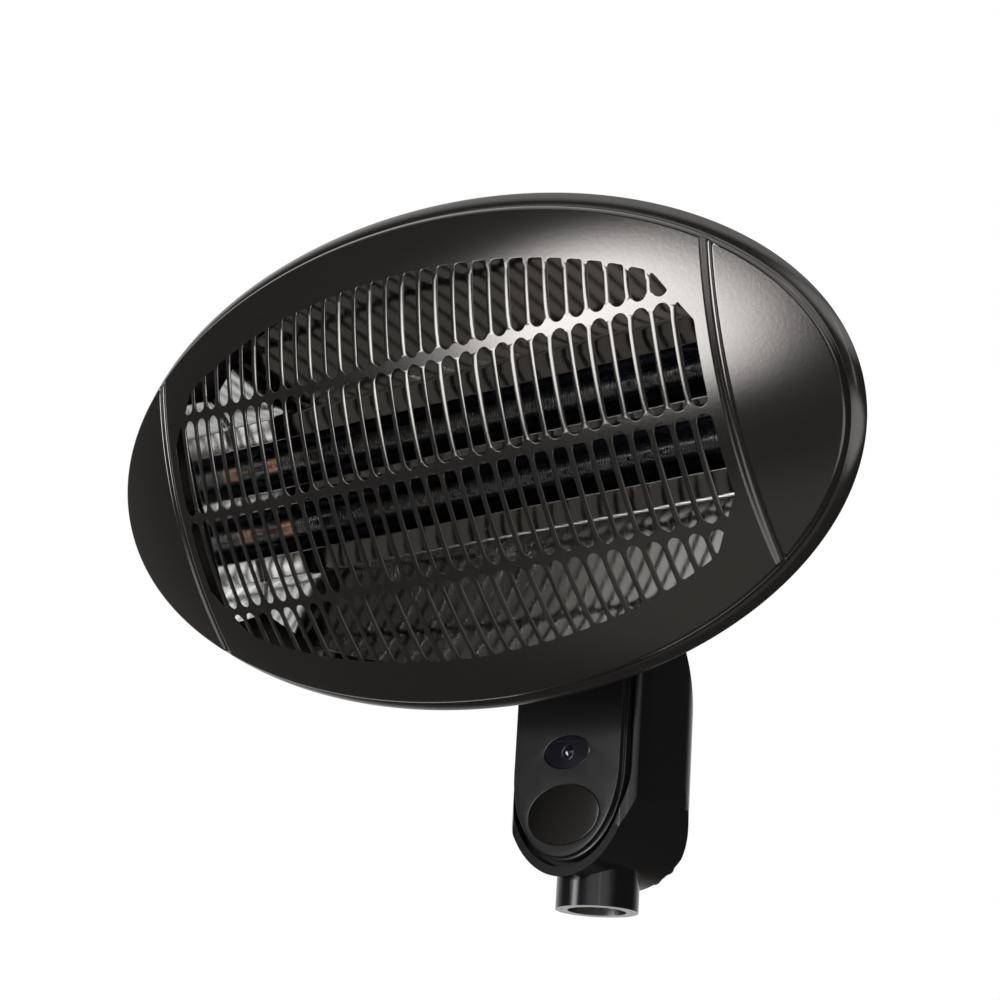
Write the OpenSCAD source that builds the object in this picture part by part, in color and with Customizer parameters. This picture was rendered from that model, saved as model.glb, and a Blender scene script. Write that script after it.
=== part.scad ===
// Tilting parabolic heater head on the neck that slips over a stand's pole.
// The pole's end is the origin: +Z runs up the pole, the heated face looks along -Y, +X is its right.
// Pieces of the head are drawn in the head's own axes: X to the right, Y backwards from the
// dome's base plane, Z up the face. in_head() then leans them to the rest tilt.

/* [Face] */
// Half width of the dome at its base plane
face_half_w = 230; // [222:1:240]
// Half height of the dome at its base plane
face_half_h = 116; // [114:1:122]
// Rise of the dome over its base plane
dome_rise = 29; // [24:1:34]
// Thickness of the pressed steel sheets
sheet_t = 1; // [0.8:0.1:1.2]
// Depth of the crease between the dome's foot and the skirt
crease_d = 3; // [2:0.5:3.5]
// How far the dome's foot stands inside its base outline
foot_in = 4; // [3:0.5:5]
// Depth of the skirt turned back around the face
skirt_d = 7; // [6.5:0.5:9]
// How far the skirt stands outside the dome's base outline
skirt_flare = 2.4; // [2:0.1:3]
// Distance of the two pressed grooves from the middle of the face
groove_x = 176; // [174:1:180]
// Width of a pressed groove
groove_w = 5; // [4:0.5:6]
// Depth of a pressed groove
groove_d = 1; // [0.6:0.1:1.4]

/* [Slots] */
// Number of slot columns
slot_columns = 32; // [28:2:32]
// Distance from one slot column to the next
slot_pitch = 10.53; // [10:0.1:10.6]
// Width of a slot
slot_w = 7.6; // [6.5:0.1:8]
// Height of the full slots, bars left out
slot_h = 46.8; // [44:0.2:48]
// Height of the bars between the slot rows
slot_bar = 3.2; // [2.4:0.2:5]
// Half height of the slotted field
field_half_h = 90.5; // [84:0.5:92]
// Half width of the ellipse that trims the slotted field
field_half_w = 207; // [200:1:212]

/* [Rear shell] */
// Depth of the rear shell behind the skirt
shell_d = 76; // [76:1:84]
// Inward lean of the shell's wall for each unit of depth
shell_draft = 0.84; // [0.78:0.01:0.85]
// Radius of the corner between the shell's wall and its back
shell_corner_r = 24; // [18:1:26]

/* [Reflector] */
// Thickness of the polished reflector sheet
mirror_t = 0.8; // [0.6:0.1:1]
// Half length of the reflector
mirror_half_l = 172; // [168:0.5:172]
// Depth of the reflector's flat lands behind the dome's base plane
land_depth = 32; // [30:1:34]
// Half width of a trough
trough_r = 12; // [11:0.2:12.4]
// Distance of each trough's middle from the middle of the face
trough_z = 16.6; // [16.4:0.1:18]
// Depth of a trough below the lands
trough_d = 34; // [32:0.5:35]
// Width of the outer lands
land_w = 11.8; // [10:0.2:13]

/* [Heating elements] */
// Outer radius of a quartz tube
tube_r = 7; // [6:0.1:8]
// Wall of a quartz tube
tube_wall = 1.2; // [1:0.1:1.5]
// Radius of the wound heating coil
coil_r = 5; // [4:0.1:5.2]
// Thickness of the coil wire
coil_wire = 0.9; // [0.6:0.1:1.2]
// Half length of the heated part of a coil
coil_half_l = 151; // [140:1:155]
// Depth of the tubes' axes behind the dome's base plane
tube_depth = 46; // [44:0.5:48]
// Radius of a ceramic end cap
cap_r = 8.5; // [8.2:0.1:9]

/* [Tilt joint] */
// Lean of the face at rest, from upright
tilt_rest = 25; // [15:1:30]
// Height of the tilt axle over the pole's end
tilt_z = 149.5; // [146:0.5:156]
// Depth of the tilt axle behind the dome's base plane
axle_back = 93.5; // [92:0.5:98]
// Drop of the tilt axle below the middle of the face
axle_drop = 90.5; // [88:0.5:94]
// Radius of the tilt axle
axle_r = 4; // [3:0.1:5]
// Radius of the neck's ears around the axle
ear_r = 18; // [15:0.5:18]
// Thickness of an ear
ear_t = 9; // [7:0.5:10]
// Thickness of the tilt bracket's steel
bracket_t = 2.5; // [2:0.1:3]
// Thickness of a friction washer
washer_t = 1; // [0.8:0.1:1.4]
// Radius of the tilt knob
knob_r = 14; // [12:0.5:15]
// Length of the tilt knob
knob_l = 16; // [14:1:20]

/* [Neck] */
// Width of the neck
neck_w = 82; // [80:1:90]
// Depth of the neck behind the pole's axis
neck_back = 28; // [27:0.5:32]
// Depth of the neck in front of the pole's axis
neck_front = 28; // [26:0.5:30]
// Wall of the neck's shells
neck_wall = 2.5; // [2:0.1:2.8]
// Height at which the neck's straight sides begin
neck_straight_z = 64; // [60:1:68]
// Height of the neck's rounded lower end
neck_round_h = 51; // [46:1:54]
// Height of the neck's roof between the ears
roof_z = 125; // [124:0.5:127]
// Radius of the plan's front corners
front_corner_r = 14.5; // [12:0.5:16]
// Radius of the plan's back corners
back_corner_r = 18; // [16:0.5:19]
// Radius of the bulge down the neck's back
bulge_r = 180; // [175:5:220]
// Height at which the bulge stands furthest back
bulge_z = 45; // [42:1:48]
// Place of the joint between the body and its back cover, behind the pole's axis
split_y = 13; // [12.5:0.5:14]
// Width of the front panel
panel_w = 67; // [62:1:68]
// Height of the front panel's rounded lower end
panel_round_h = 42; // [38:1:43]
// Width of the groove round the front panel's flange
groove_w_neck = 2.4; // [1.5:0.1:2.6]

/* [Pole socket] */
// Radius of the bore that the pole enters
pole_r = 14.2; // [12:0.1:15]
// Depth of the bore
pole_depth = 60; // [50:1:62]
// Wall of the socket sleeve
sleeve_wall = 2.8; // [2:0.1:3]
// Height of the clamp screw
clamp_z = 32; // [28:1:36]
// Radius of the clamp screw
clamp_r = 3; // [2.5:0.1:3.5]

/* [Lens and badge] */
// Width of the oval lens
lens_w = 28.4; // [24:0.2:30]
// Height of the oval lens
lens_h = 15.5; // [12:0.5:17]
// Height of the lens over the pole's end
lens_z = 72.6; // [72:0.2:76]
// Width of the bare oval badge
badge_w = 45; // [40:0.5:46]
// Height of the bare oval badge
badge_h = 29; // [24:0.5:30]
// Height of the badge over the pole's end
badge_z = 42.3; // [41:0.1:43]

/* [Hidden] */
gap = 0.3;
fit = 0.05;
round_fn = 48;
fine_fn = 96;
outline_points = 120;

// Dome: a patch of a ring whose two radii follow from its base outline and its rise.
dome_rv = (face_half_h * face_half_h + dome_rise * dome_rise) / (2 * dome_rise);
dome_rh = (face_half_w * face_half_w + dome_rise * dome_rise) / (2 * dome_rise);
dome_sweep = 40;
dome_far = dome_rise + 8;
foot_half_w = face_half_w - foot_in;
foot_half_h = face_half_h - foot_in;
foot_top = 6;
rim_flange_y = crease_d + sheet_t;
skirt_half_w = face_half_w + skirt_flare;
skirt_half_h = face_half_h + skirt_flare;

// Slotted field: its ends are upright, and a straight cut takes each corner off.
slot_row_step = slot_h + slot_bar;
field_end_x = 167.5;
corner_x = 151;
corner_z = 60.5;
corner_slope = 1.4;
field_top_z = field_half_h + 2;

// Rear shell: its rim stands just inside the skirt's end.
rim_gap = 0.2;
shell_rim_y = skirt_d - 0.3;
shell_y = skirt_d + 1;
shell_back_y = shell_y + shell_d;
shell_inside_y = shell_back_y - sheet_t;
shell_half_w = skirt_half_w - sheet_t - rim_gap;
shell_half_h = skirt_half_h - sheet_t - rim_gap;
shell_lean = atan(shell_draft);
shell_wall_d = shell_d - shell_corner_r * (1 - sin(shell_lean));
shell_wall_steps = 5;
shell_corner_steps = 5;
shell_points = 72;

// Screw posts between the grille and the shell
post_r = 4;
post_bore_r = 2;
post_x = face_half_w - 102;
post_z = face_half_h - 33;
side_post_x = face_half_w - 27;
post_end_y = 18;
side_post_end_y = 31;
seat_r = 6.5;
seat_wall = 1;
seat_t = 1.5;
small_head_r = 3.8;
small_head_h = 2.6;

// Reflector
trough_bottom_y = land_depth + trough_d;
mirror_back_y = trough_bottom_y + mirror_t;
slope_z0 = trough_z + trough_r + land_w;
slope_z1 = slope_z0 + 57.6;
slope_rise = 24;
slope_t = mirror_t / cos(atan(slope_rise / (slope_z1 - slope_z0)));
mirror_plan_w = face_half_w - 18;
mirror_plan_h = face_half_h - 19;
end_front_y = 2;
end_half_h = 57;
end_step_z = trough_z + trough_r + mirror_t;
support_x = 95;
support_w = 16;
support_t = 1.2;
support_leg_z = 30;
support_foot = 6;
support_screw_z = support_leg_z + support_foot / 2;

// Elements: caps stand outside the reflector's ends, and brackets hold them by their necks.
end_x = mirror_half_l + mirror_t;
cap_l = 5.5;
cap_neck_l = 4;
cap_neck_r = 5.5;
tube_in_cap = 4;
tube_end_x = end_x + tube_in_cap;
bracket_x = end_x + cap_l;
cap_end_x = bracket_x + cap_neck_l;
element_t = 1.2;
element_leg_z = trough_z + cap_r + 2;
element_half_d = 7.5;
sleeve_l = 10;
coil_sleeve_r = coil_r + 0.4;
pin_r = 1.2;
lead_r = 1.3;

// Terminal block and cut-out on the inside of the shell's back
block_x = [34, 64];
block_y = [69, shell_inside_y];
block_z = [-37, -25];
cutout_x = -34;
cutout_z = 26;

// Tilt joint
ear_out_x = neck_w / 2;
ear_in_x = ear_out_x - ear_t;
cheek_gap = 0.1;
cheek_out_x = ear_in_x - washer_t - cheek_gap;
cheek_in_x = cheek_out_x - bracket_t;
axle_head_h = 4.5;
axle_head_r = 7;
washer_r = 12;
cheek_r = 13;
bracket_top_z = -3;
bracket_foot_z = -37;
bracket_screw_x = 18;
bracket_screw_z = [-9, -31];
m5_r = 2.5;
m5_head_r = 4.4;
m5_head_h = 3.2;
nut_r = 4.6;
nut_h = 4;
cable_r = 3;
cable_hole_r = 6;
grommet_lip = 1.2;
head_hole_z = -20;

// Neck
neck_low_z = neck_straight_z - neck_round_h;
body_front_y = 2 - neck_front;
panel_half_w = panel_w / 2;
flange_w = 1.5;
flange_y = body_front_y + 0.8;
recess_half_w = panel_half_w + flange_w + groove_w_neck;
recess_y = 6.5 - neck_front;
recess_top_z = roof_z - 3;
front_wall_y = recess_y + neck_wall;
panel_wall = 2;
panel_hollow_w = panel_half_w - panel_wall;
sleeve_out_r = pole_r + sleeve_wall;
sleeve_top_z = pole_depth + 6;
sleeve_fit = 0.15;
collar_r = sleeve_out_r + 3;
collar_top_z = 26;
saddle_half_w = 8;
saddle_z = [24, 60];
socket_screw_z = [34, 52];
boss_r = 4.2;
boss_low = [27, 42];
boss_high = [32, 100];
boss_seat_y = split_y + 4;
m3_r = 1.5;
m3_head_r = 2.9;
m3_head_h = 2.2;
clamp_knob_r = 13;
clamp_knob_l = 16;
clamp_knob_y = neck_back + gap;
clamp_nut_r = 6;
clamp_nut_y = sleeve_out_r + 4;
gland_x = -20;
gland_z = 60;
gland_r = 7.5;
gland_l = 16;
gland_in_y = 19;
switch_z = 80;
switch_w = 19;
switch_h = 13;
switch_d = 17;
switch_rim = 1.5;
switch_pad = 3;
switch_pad_d = 7;
switch_y = back_at(switch_z - switch_h / 2 - switch_pad) + 0.4;
rocker_w = 13;
rocker_h = 9.4;
rocker_off = 7;
rocker_pin_y = switch_y - 1.2;
rocker_pin_r = 0.8;
board_y = -12;
board_t = 1.6;
board_back_y = board_y + board_t;
board_half_w = 25;
board_z = [70, 119];
board_post_x = 22;
board_post_z = [79, 114];
board_post_r = 3;
relay_w = 19;
relay_h = 15;
relay_d = 15.5;
relay_z = 86;
terminal_half_w = 18.5;
terminal_d = 11;
terminal_z = [107, 117];
wire_r = 1.2;
receiver_r = 2.4;
receiver_block = [8, 3.5, 8];
lens_bulge_r = 6;
lens_bulge = 1.4;
lens_t = 2;
badge_t = 1;

// The lead between head and neck loops past the back of the axle, where two lengths of it meet.
// Its route in the head is in the head's own axes. In the neck it is set from the axle's height.
join_y = axle_back + 10;
join_z = -axle_drop - 4.7;
head_route = [[54, 76, -25], [54, 76, -23], [51, 75.6, -20.5], [44, 75, -20], [12, 75, -20],
              [6, 75.6, -20],
              [2.2, 77.6, -20], [0.3, 81, -20], [0, 84, -20], [0, 90, -20], [0, 97, -21],
              [1, 106, -26], [2, 111, -36], [3, 112, -50], [5, 110, -66], [7.6, 106.5, -80], [8.2, 104.6, -88],
              [6.6, 103.9, -92.5], [3.4, join_y, join_z], [gap / 2, join_y, join_z]];
join = [join_y - axle_back, join_z + axle_drop];
join_back = join.x * cos(tilt_rest) - join.y * sin(tilt_rest);
join_up = join.x * sin(tilt_rest) + join.y * cos(tilt_rest);
roof_hole = [-9, -2.6];
neck_route = [[-gap / 2, join_back, join_up], [-3.6, join_back, join_up - 0.4],
              [-7.2, join_back, join_up - 3.2], [-8.8, 10.4, -9.5], [-9, 6.8, -15],
              [-9, 1.6, -18.6], [-9, -1.5, -20.8], [-9, -2.6, -23.4], [-9, -2.6, -30],
              [-9, -2.6, -32.45]];
supply_route = [[-20, 19, 60], [-20.4, 13.4, 61.8], [-21.6, 10, 68], [-22, 9, 80], [-22, 9, 95],
                [-19.5, 8.8, 104], [-16.4, 7, 110], [-15.5, 4, 112], [-15.5, 0.65, 112]];
switch_route = [[4, 9.5, 80], [4, 7.8, 80], [4.6, 7.2, 82], [6.5, 7, 90], [10, 7, 101],
                [10.8, 6, 108], [11, 2.6, 112], [11, 0.65, 112]];

// ---------------------------------------------------------------- helpers

// Stands flat work up: drawn in X and Z, thick from y0 to y1.
module deep(y0, y1) {
    translate([0, y1, 0])
        rotate([90, 0, 0])
            linear_extrude(height = y1 - y0)
                children();
}

// Flat work drawn in Y and Z, thick from x0 to x1.
module across(x0, x1) {
    translate([x0, 0, 0])
        rotate([90, 0, 90])
            linear_extrude(height = x1 - x0)
                children();
}

// Round bar along Y.
module bar_y(x, z, r, y0, y1) {
    translate([x, y1, z])
        rotate([90, 0, 0])
            cylinder(r = r, h = y1 - y0, $fn = round_fn);
}

// Round bar along X.
module bar_x(y, z, r, x0, x1) {
    translate([x0, y, z])
        rotate([0, 90, 0])
            cylinder(r = r, h = x1 - x0, $fn = round_fn);
}

// Leans a piece of the head to the rest tilt about the axle.
module in_head() {
    translate([0, 0, tilt_z])
        rotate([tilt_rest, 0, 0])
            translate([0, -axle_back, axle_drop])
                children();
}

module oval(w, h) {
    polygon([for (i = [0 : outline_points - 1])
        [w * cos(360 * i / outline_points), h * sin(360 * i / outline_points)]]);
}

module both_sides() {
    children();
    mirror([1, 0, 0])
        children();
}

// Tube swept along a list of points, closed at both ends.
function unit(v) = v / norm(v);
function heading(p, i) = unit(p[min(i + 1, len(p) - 1)] - p[max(i - 1, 0)]);
function side_of(t) = unit(cross(t, abs(t.x) > 0.9 ? [0, 0, 1] : [1, 0, 0]));
function ring_at(p, i, r, n) = let (t = heading(p, i), s = side_of(t), u = cross(t, s))
    [for (k = [0 : n - 1]) p[i] + r * (cos(360 * k / n) * s + sin(360 * k / n) * u)];

module swept(p, r, n = 8) {
    last = len(p) - 1;
    points = [for (i = [0 : last]) each ring_at(p, i, r, n)];
    sides = [for (i = [0 : last - 1]) for (k = [0 : n - 1])
        let (a = i * n + k, b = i * n + (k + 1) % n) each [[a, b + n, b], [a, a + n, b + n]]];
    polyhedron(points, concat(sides,
                              [[for (k = [0 : n - 1]) k]],
                              [[for (k = [n - 1 : -1 : 0]) last * n + k]]));
}

// ---------------------------------------------------------------- face

// Solid under the dome, its surface moved out by grow.
module dome(grow = 0) {
    translate([0, dome_rh - dome_rise, 0])
        rotate([0, 0, 270 - dome_sweep / 2])
            rotate_extrude(angle = dome_sweep, $fn = 360)
                translate([dome_rh - dome_rv, 0])
                    circle(r = dome_rv + grow, $fn = 180);
}

module slot(x, z) {
    translate([x, z])
        square([slot_w, slot_h - slot_w], center = true);
    for (end = [-1, 1])
        translate([x, z + end * (slot_h - slot_w) / 2])
            circle(d = slot_w, $fn = round_fn);
}

// The slots end on an ellipse whose ends are upright and whose corners are cut off.
function cut_z(x) = corner_z + corner_slope * (corner_x - x);
function cut_x(z) = corner_x + (corner_z - z) / corner_slope;

module slotted_field() {
    corners = [[field_end_x, cut_z(field_end_x)], [cut_x(field_top_z), field_top_z]];
    intersection() {
        oval(field_half_w, field_half_h);
        polygon([corners[0], corners[1],
                 [-corners[1].x, corners[1].y], [-corners[0].x, corners[0].y],
                 -corners[0], -corners[1],
                 [corners[1].x, -corners[1].y], [corners[0].x, -corners[0].y]]);
    }
}

module slots() {
    intersection() {
        slotted_field();
        for (column = [0 : slot_columns - 1])
            for (row = [-1.5 : 1.5])
                slot((column - (slot_columns - 1) / 2) * slot_pitch, row * slot_row_step);
    }
}

module groove_plan(w) {
    reach = foot_half_h * sqrt(1 - pow(groove_x / foot_half_w, 2)) - 7;
    for (x = [-groove_x, groove_x]) {
        translate([x, 0])
            square([w, 2 * reach], center = true);
        for (z = [-reach, reach])
            translate([x, z])
                circle(d = w, $fn = round_fn);
    }
}

// Band of an even width inside an oval
module rim_band(half_w, half_h, band_w) {
    difference() {
        oval(half_w, half_h);
        oval(half_w - band_w, half_h - band_w);
    }
}

module face_sheet() {
    difference() {
        intersection() {
            dome();
            deep(-dome_far, 0)
                oval(foot_half_w, foot_half_h);
        }
        dome(-sheet_t);
    }
    intersection() {
        dome();
        deep(-foot_top, rim_flange_y)
            rim_band(foot_half_w, foot_half_h, sheet_t);
    }
    intersection() {
        dome(-groove_d / 2);
        deep(-dome_far, 0)
            groove_plan(groove_w + 2 * sheet_t);
        difference() {
            dome();
            dome(-sheet_t - groove_d);
        }
    }
}

module slotted_face_grille() {
    color("#3b3431")
        in_head() {
            difference() {
                face_sheet();
                difference() {
                    deep(-dome_far, 0)
                        groove_plan(groove_w);
                    dome(-groove_d);
                }
                deep(-dome_far, skirt_d)
                    slots();
            }
            deep(crease_d, rim_flange_y)
                rim_band(skirt_half_w, skirt_half_h, skirt_flare + foot_in + sheet_t);
            deep(crease_d, skirt_d)
                rim_band(skirt_half_w, skirt_half_h, sheet_t);
        }
}

// Places its children at the end of each screw post.
module at_posts() {
    for (x = [-1, 1]) {
        for (z = [-1, 1])
            translate([x * post_x, post_end_y, z * post_z])
                children();
        translate([x * side_post_x, side_post_end_y, 0])
            children();
    }
}

module grille_posts() {
    color("#9a9a98")
        in_head()
            intersection() {
                dome(-sheet_t);
                at_posts()
                    difference() {
                        bar_y(0, 0, post_r, -side_post_end_y - dome_rise, 0);
                        bar_y(0, 0, post_bore_r, -10, 1);
                    }
            }
}

// ---------------------------------------------------------------- shell

// Depth and inset of ring i of the shell: a straight leaning wall, then a round corner.
function ring_angle(i) = shell_lean + (90 - shell_lean) * (i - shell_wall_steps) / shell_corner_steps;
function ring_depth(i) = i <= shell_wall_steps
    ? shell_wall_d * i / shell_wall_steps
    : shell_wall_d + shell_corner_r * (sin(ring_angle(i)) - sin(shell_lean));
function ring_inset(i) = i <= shell_wall_steps
    ? shell_draft * ring_depth(i)
    : shell_draft * shell_wall_d + shell_corner_r * (cos(shell_lean) - cos(ring_angle(i)));
// The plan turns from an ellipse at the rim to a squarer oval at the back.
function ring_power(i) = 2 + pow(min(1, ring_depth(i) / (shell_d * 0.75)), 1.5);
function rounded(c, n) = sign(c) * pow(abs(c), 2 / n);
function shell_ring(i, inset, y) = let (w = shell_half_w - inset - ring_inset(i),
                                        h = shell_half_h - inset - ring_inset(i),
                                        n = ring_power(i))
    [for (k = [0 : shell_points - 1]) let (a = 360 * (k + 0.5) / shell_points)
        [w * rounded(cos(a), n), y, h * rounded(sin(a), n)]];

// Solid tub: the shell's outside with inset 0, its inside with the sheet's thickness.
module tub(inset, front_y) {
    n = shell_points;
    rings = shell_wall_steps + shell_corner_steps;
    last = (rings + 1) * n;
    points = concat(shell_ring(0, inset, front_y),
                    [for (i = [0 : rings]) each shell_ring(i, inset, shell_y + ring_depth(i) - inset)]);
    sides = [for (i = [0 : rings]) for (k = [0 : n - 1])
        let (a = i * n + k, b = i * n + (k + 1) % n) each [[a, b + n, a + n], [a, b, b + n]]];
    polyhedron(points, concat(sides,
                              [[for (k = [n - 1 : -1 : 0]) k]],
                              [[for (k = [0 : n - 1]) last + k]]));
}

module at_bracket_screws() {
    for (x = [-bracket_screw_x, bracket_screw_x])
        for (z = bracket_screw_z)
            translate([x, 0, z])
                children();
}

module at_support_screws() {
    for (x = [-support_x, support_x])
        for (z = [-support_screw_z, support_screw_z])
            translate([x, 0, z])
                children();
}

module rear_shell() {
    color("#2c2826")
        in_head()
            difference() {
                union() {
                    difference() {
                        tub(0, shell_rim_y);
                        tub(sheet_t, shell_rim_y - 1);
                    }
                    intersection() {
                        tub(0, shell_rim_y);
                        at_posts()
                            bar_y(0, 0, seat_r + seat_wall, gap, shell_d);
                    }
                }
                at_posts() {
                    bar_y(0, 0, seat_r, gap + seat_t, shell_d);
                    bar_y(0, 0, post_bore_r + 0.2, -1, shell_d);
                }
                at_bracket_screws()
                    bar_y(0, 0, m5_r + 0.2, shell_back_y - 5, shell_back_y + 1);
                at_support_screws()
                    bar_y(0, 0, m3_r + 0.2, shell_back_y - 5, shell_back_y + 1);
                bar_y(0, head_hole_z, cable_hole_r, shell_back_y - 5, shell_back_y + 1);
            }
}

module pan_screw(r, l, head_r, head_h) {
    bar_y(0, 0, head_r, 0, head_h);
    bar_y(0, 0, r, -l, 0);
}

module shell_screws() {
    color("#8f8f8f")
        in_head()
            at_posts()
                translate([0, gap + seat_t, 0])
                    pan_screw(post_bore_r - 0.05, 9, small_head_r, small_head_h);
}

// ---------------------------------------------------------------- reflector

module trough_section(r) {
    translate([land_depth, trough_z - r])
        square([trough_d - trough_r, 2 * r]);
    translate([trough_bottom_y - trough_r, trough_z])
        circle(r = r, $fn = 96);
}

module both_troughs(r) {
    trough_section(r);
    mirror([0, 1])
        trough_section(r);
}

// The flat strip and the two slopes of the sheet, in Y and Z
module strip_section() {
    rim_y = land_depth - slope_rise;
    polygon([[rim_y, -slope_z1], [land_depth, -slope_z0], [land_depth, slope_z0],
             [rim_y, slope_z1], [rim_y + slope_t, slope_z1],
             [land_depth + slope_t, slope_z0], [land_depth + slope_t, -slope_z0],
             [rim_y + slope_t, -slope_z1]]);
}

// Slope, land, trough, ridge, trough, land and slope in one sheet
module reflector() {
    color("#d9d8d2")
        in_head()
            intersection() {
                difference() {
                    union() {
                        across(-mirror_half_l, mirror_half_l)
                            strip_section();
                        across(-mirror_half_l, mirror_half_l)
                            both_troughs(trough_r + mirror_t);
                    }
                    across(-mirror_half_l - 1, mirror_half_l + 1)
                        both_troughs(trough_r);
                    for (z = [-trough_z, trough_z])
                        translate([-mirror_half_l - 1, land_depth - 1, z - trough_r])
                            cube([2 * mirror_half_l + 2, 2, 2 * trough_r]);
                }
                deep(0, shell_back_y)
                    oval(mirror_plan_w, mirror_plan_h);
            }
}

module reflector_end() {
    across(mirror_half_l, end_x)
        difference() {
            union() {
                translate([end_front_y, -end_half_h])
                    square([land_depth + mirror_t - end_front_y, 2 * end_half_h]);
                translate([land_depth, -end_step_z])
                    square([mirror_back_y - land_depth, 2 * end_step_z]);
            }
            for (z = [-trough_z, trough_z])
                translate([tube_depth, z])
                    circle(r = tube_r + gap, $fn = round_fn);
        }
}

module right_reflector_end() {
    color("#d4d3cd")
        in_head()
            reflector_end();
}

module left_reflector_end() {
    color("#d4d3cd")
        in_head()
            mirror([1, 0, 0])
                reflector_end();
}

// Hat-shaped straps carry the troughs off the back of the shell.
module support_section() {
    translate([mirror_back_y, -support_leg_z])
        square([support_t, 2 * support_leg_z]);
    for (side = [0, 1])
        mirror([0, side]) {
            translate([mirror_back_y, support_leg_z - support_t])
                square([shell_inside_y - mirror_back_y, support_t]);
            translate([shell_inside_y - support_t, support_leg_z - support_t])
                square([support_t, support_foot + support_t]);
        }
}

module reflector_supports() {
    color("#a5a5a2")
        in_head()
            difference() {
                both_sides()
                    across(support_x - support_w / 2, support_x + support_w / 2)
                        support_section();
                at_support_screws()
                    bar_y(0, 0, m3_r + fit, shell_inside_y - 4, shell_back_y);
            }
}

module support_screws() {
    color("#8f8f8f")
        in_head()
            at_support_screws()
                translate([0, shell_back_y, 0])
                    pan_screw(m3_r, 6, m3_head_r, m3_head_h);
}

// ---------------------------------------------------------------- elements

module quartz_tube(z) {
    color("#e8eef0", 0.4)
        in_head()
            difference() {
                bar_x(tube_depth, z, tube_r, -tube_end_x, tube_end_x);
                bar_x(tube_depth, z, tube_r - tube_wall, -tube_end_x - 1, tube_end_x + 1);
            }
}

module upper_quartz_tube() {
    quartz_tube(trough_z);
}

module lower_quartz_tube() {
    quartz_tube(-trough_z);
}

// The close-wound coil is drawn as the sleeve that its turns fill.
module heating_coil(z) {
    color("#6b6560")
        in_head()
            difference() {
                bar_x(tube_depth, z, coil_r, -coil_half_l, coil_half_l);
                bar_x(tube_depth, z, coil_r - coil_wire, -coil_half_l - 1, coil_half_l + 1);
            }
}

module upper_heating_coil() {
    heating_coil(trough_z);
}

module lower_heating_coil() {
    heating_coil(-trough_z);
}

// Copper sleeves crimped on the coils' cold ends, with the pins that run out through the caps
module coil_end_sleeves() {
    color("#a86a3c")
        in_head()
            both_sides()
                for (z = [-trough_z, trough_z]) {
                    bar_x(tube_depth, z, coil_sleeve_r, coil_half_l, coil_half_l + sleeve_l);
                    bar_x(tube_depth, z, pin_r, coil_half_l + sleeve_l, cap_end_x);
                }
}

module ceramic_end_caps() {
    color("#eceae2")
        in_head()
            both_sides()
                for (z = [-trough_z, trough_z])
                    difference() {
                        union() {
                            bar_x(tube_depth, z, cap_r, end_x, bracket_x);
                            bar_x(tube_depth, z, cap_neck_r, bracket_x, cap_end_x);
                        }
                        bar_x(tube_depth, z, tube_r + fit, end_x - 1, tube_end_x + fit);
                        bar_x(tube_depth, z, pin_r + fit, end_x, cap_end_x + 1);
                    }
}

module element_bracket() {
    difference() {
        union() {
            across(bracket_x, bracket_x + element_t)
                translate([tube_depth - element_half_d, -element_leg_z])
                    square([2 * element_half_d, 2 * element_leg_z]);
            across(end_x, bracket_x)
                for (z = [-element_leg_z, element_leg_z - element_t])
                    translate([tube_depth - element_half_d, z])
                        square([2 * element_half_d, element_t]);
        }
        for (z = [-trough_z, trough_z])
            bar_x(tube_depth, z, cap_neck_r + fit, bracket_x - 1, bracket_x + 3);
    }
}

module right_element_bracket() {
    color("#b0aea8")
        in_head()
            element_bracket();
}

module left_element_bracket() {
    color("#b0aea8")
        in_head()
            mirror([1, 0, 0])
                element_bracket();
}

// Sleeved lead from one pin, round the reflector's end and along the shell's back to the block
function lead_route(side, z, block_end_z) = let (run_y = trough_bottom_y + 9,
                                                 bend_x = side > 0 ? 72 : -50,
                                                 block_side = side > 0 ? block_x[1] : block_x[0])
    [[side * cap_end_x, tube_depth, z],
     [side * (cap_end_x + 1.3), tube_depth, z],
     [side * (cap_end_x + 1.8), tube_depth + 3, z],
     [side * (cap_end_x + 0.9), tube_depth + 9, z],
     [side * (cap_end_x - 4.8), tube_depth + 18, z],
     [side * (cap_end_x - 7.5), run_y - 5.7, z],
     [side * (cap_end_x - 16), run_y - 1.5, z],
     [side * (cap_end_x - 32), run_y, z],
     [side * 85, run_y, z],
     [bend_x, run_y, block_end_z],
     [block_side, run_y, block_end_z]];

module element_leads() {
    color("#d8d2c4")
        in_head()
            for (side = [-1, 1]) {
                swept(lead_route(side, trough_z, block_z[1] - 3), lead_r);
                swept(lead_route(side, -trough_z, block_z[0] + 3), lead_r);
            }
}

module head_terminal_block() {
    color("#e6e2d6")
        in_head()
            difference() {
                translate([block_x[0], block_y[0], block_z[0]])
                    cube([block_x[1] - block_x[0], block_y[1] - block_y[0], block_z[1] - block_z[0]]);
                for (x = [block_x[0] + 6, block_x[1] - 6])
                    for (z = [block_z[0] + 3, block_z[1] - 3])
                        bar_y(x, z, 1.8, block_y[0] - 1, block_y[0] + 5);
            }
}

module thermal_cutout() {
    color("#c9c4b8")
        in_head()
            translate([cutout_x, shell_inside_y, cutout_z]) {
                bar_y(0, 0, 7.5, -8, 0);
                for (x = [-3, 3])
                    translate([x - 0.4, -14, -2.4])
                        cube([0.8, 6.5, 4.8]);
            }
}

// ---------------------------------------------------------------- tilt joint

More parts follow.
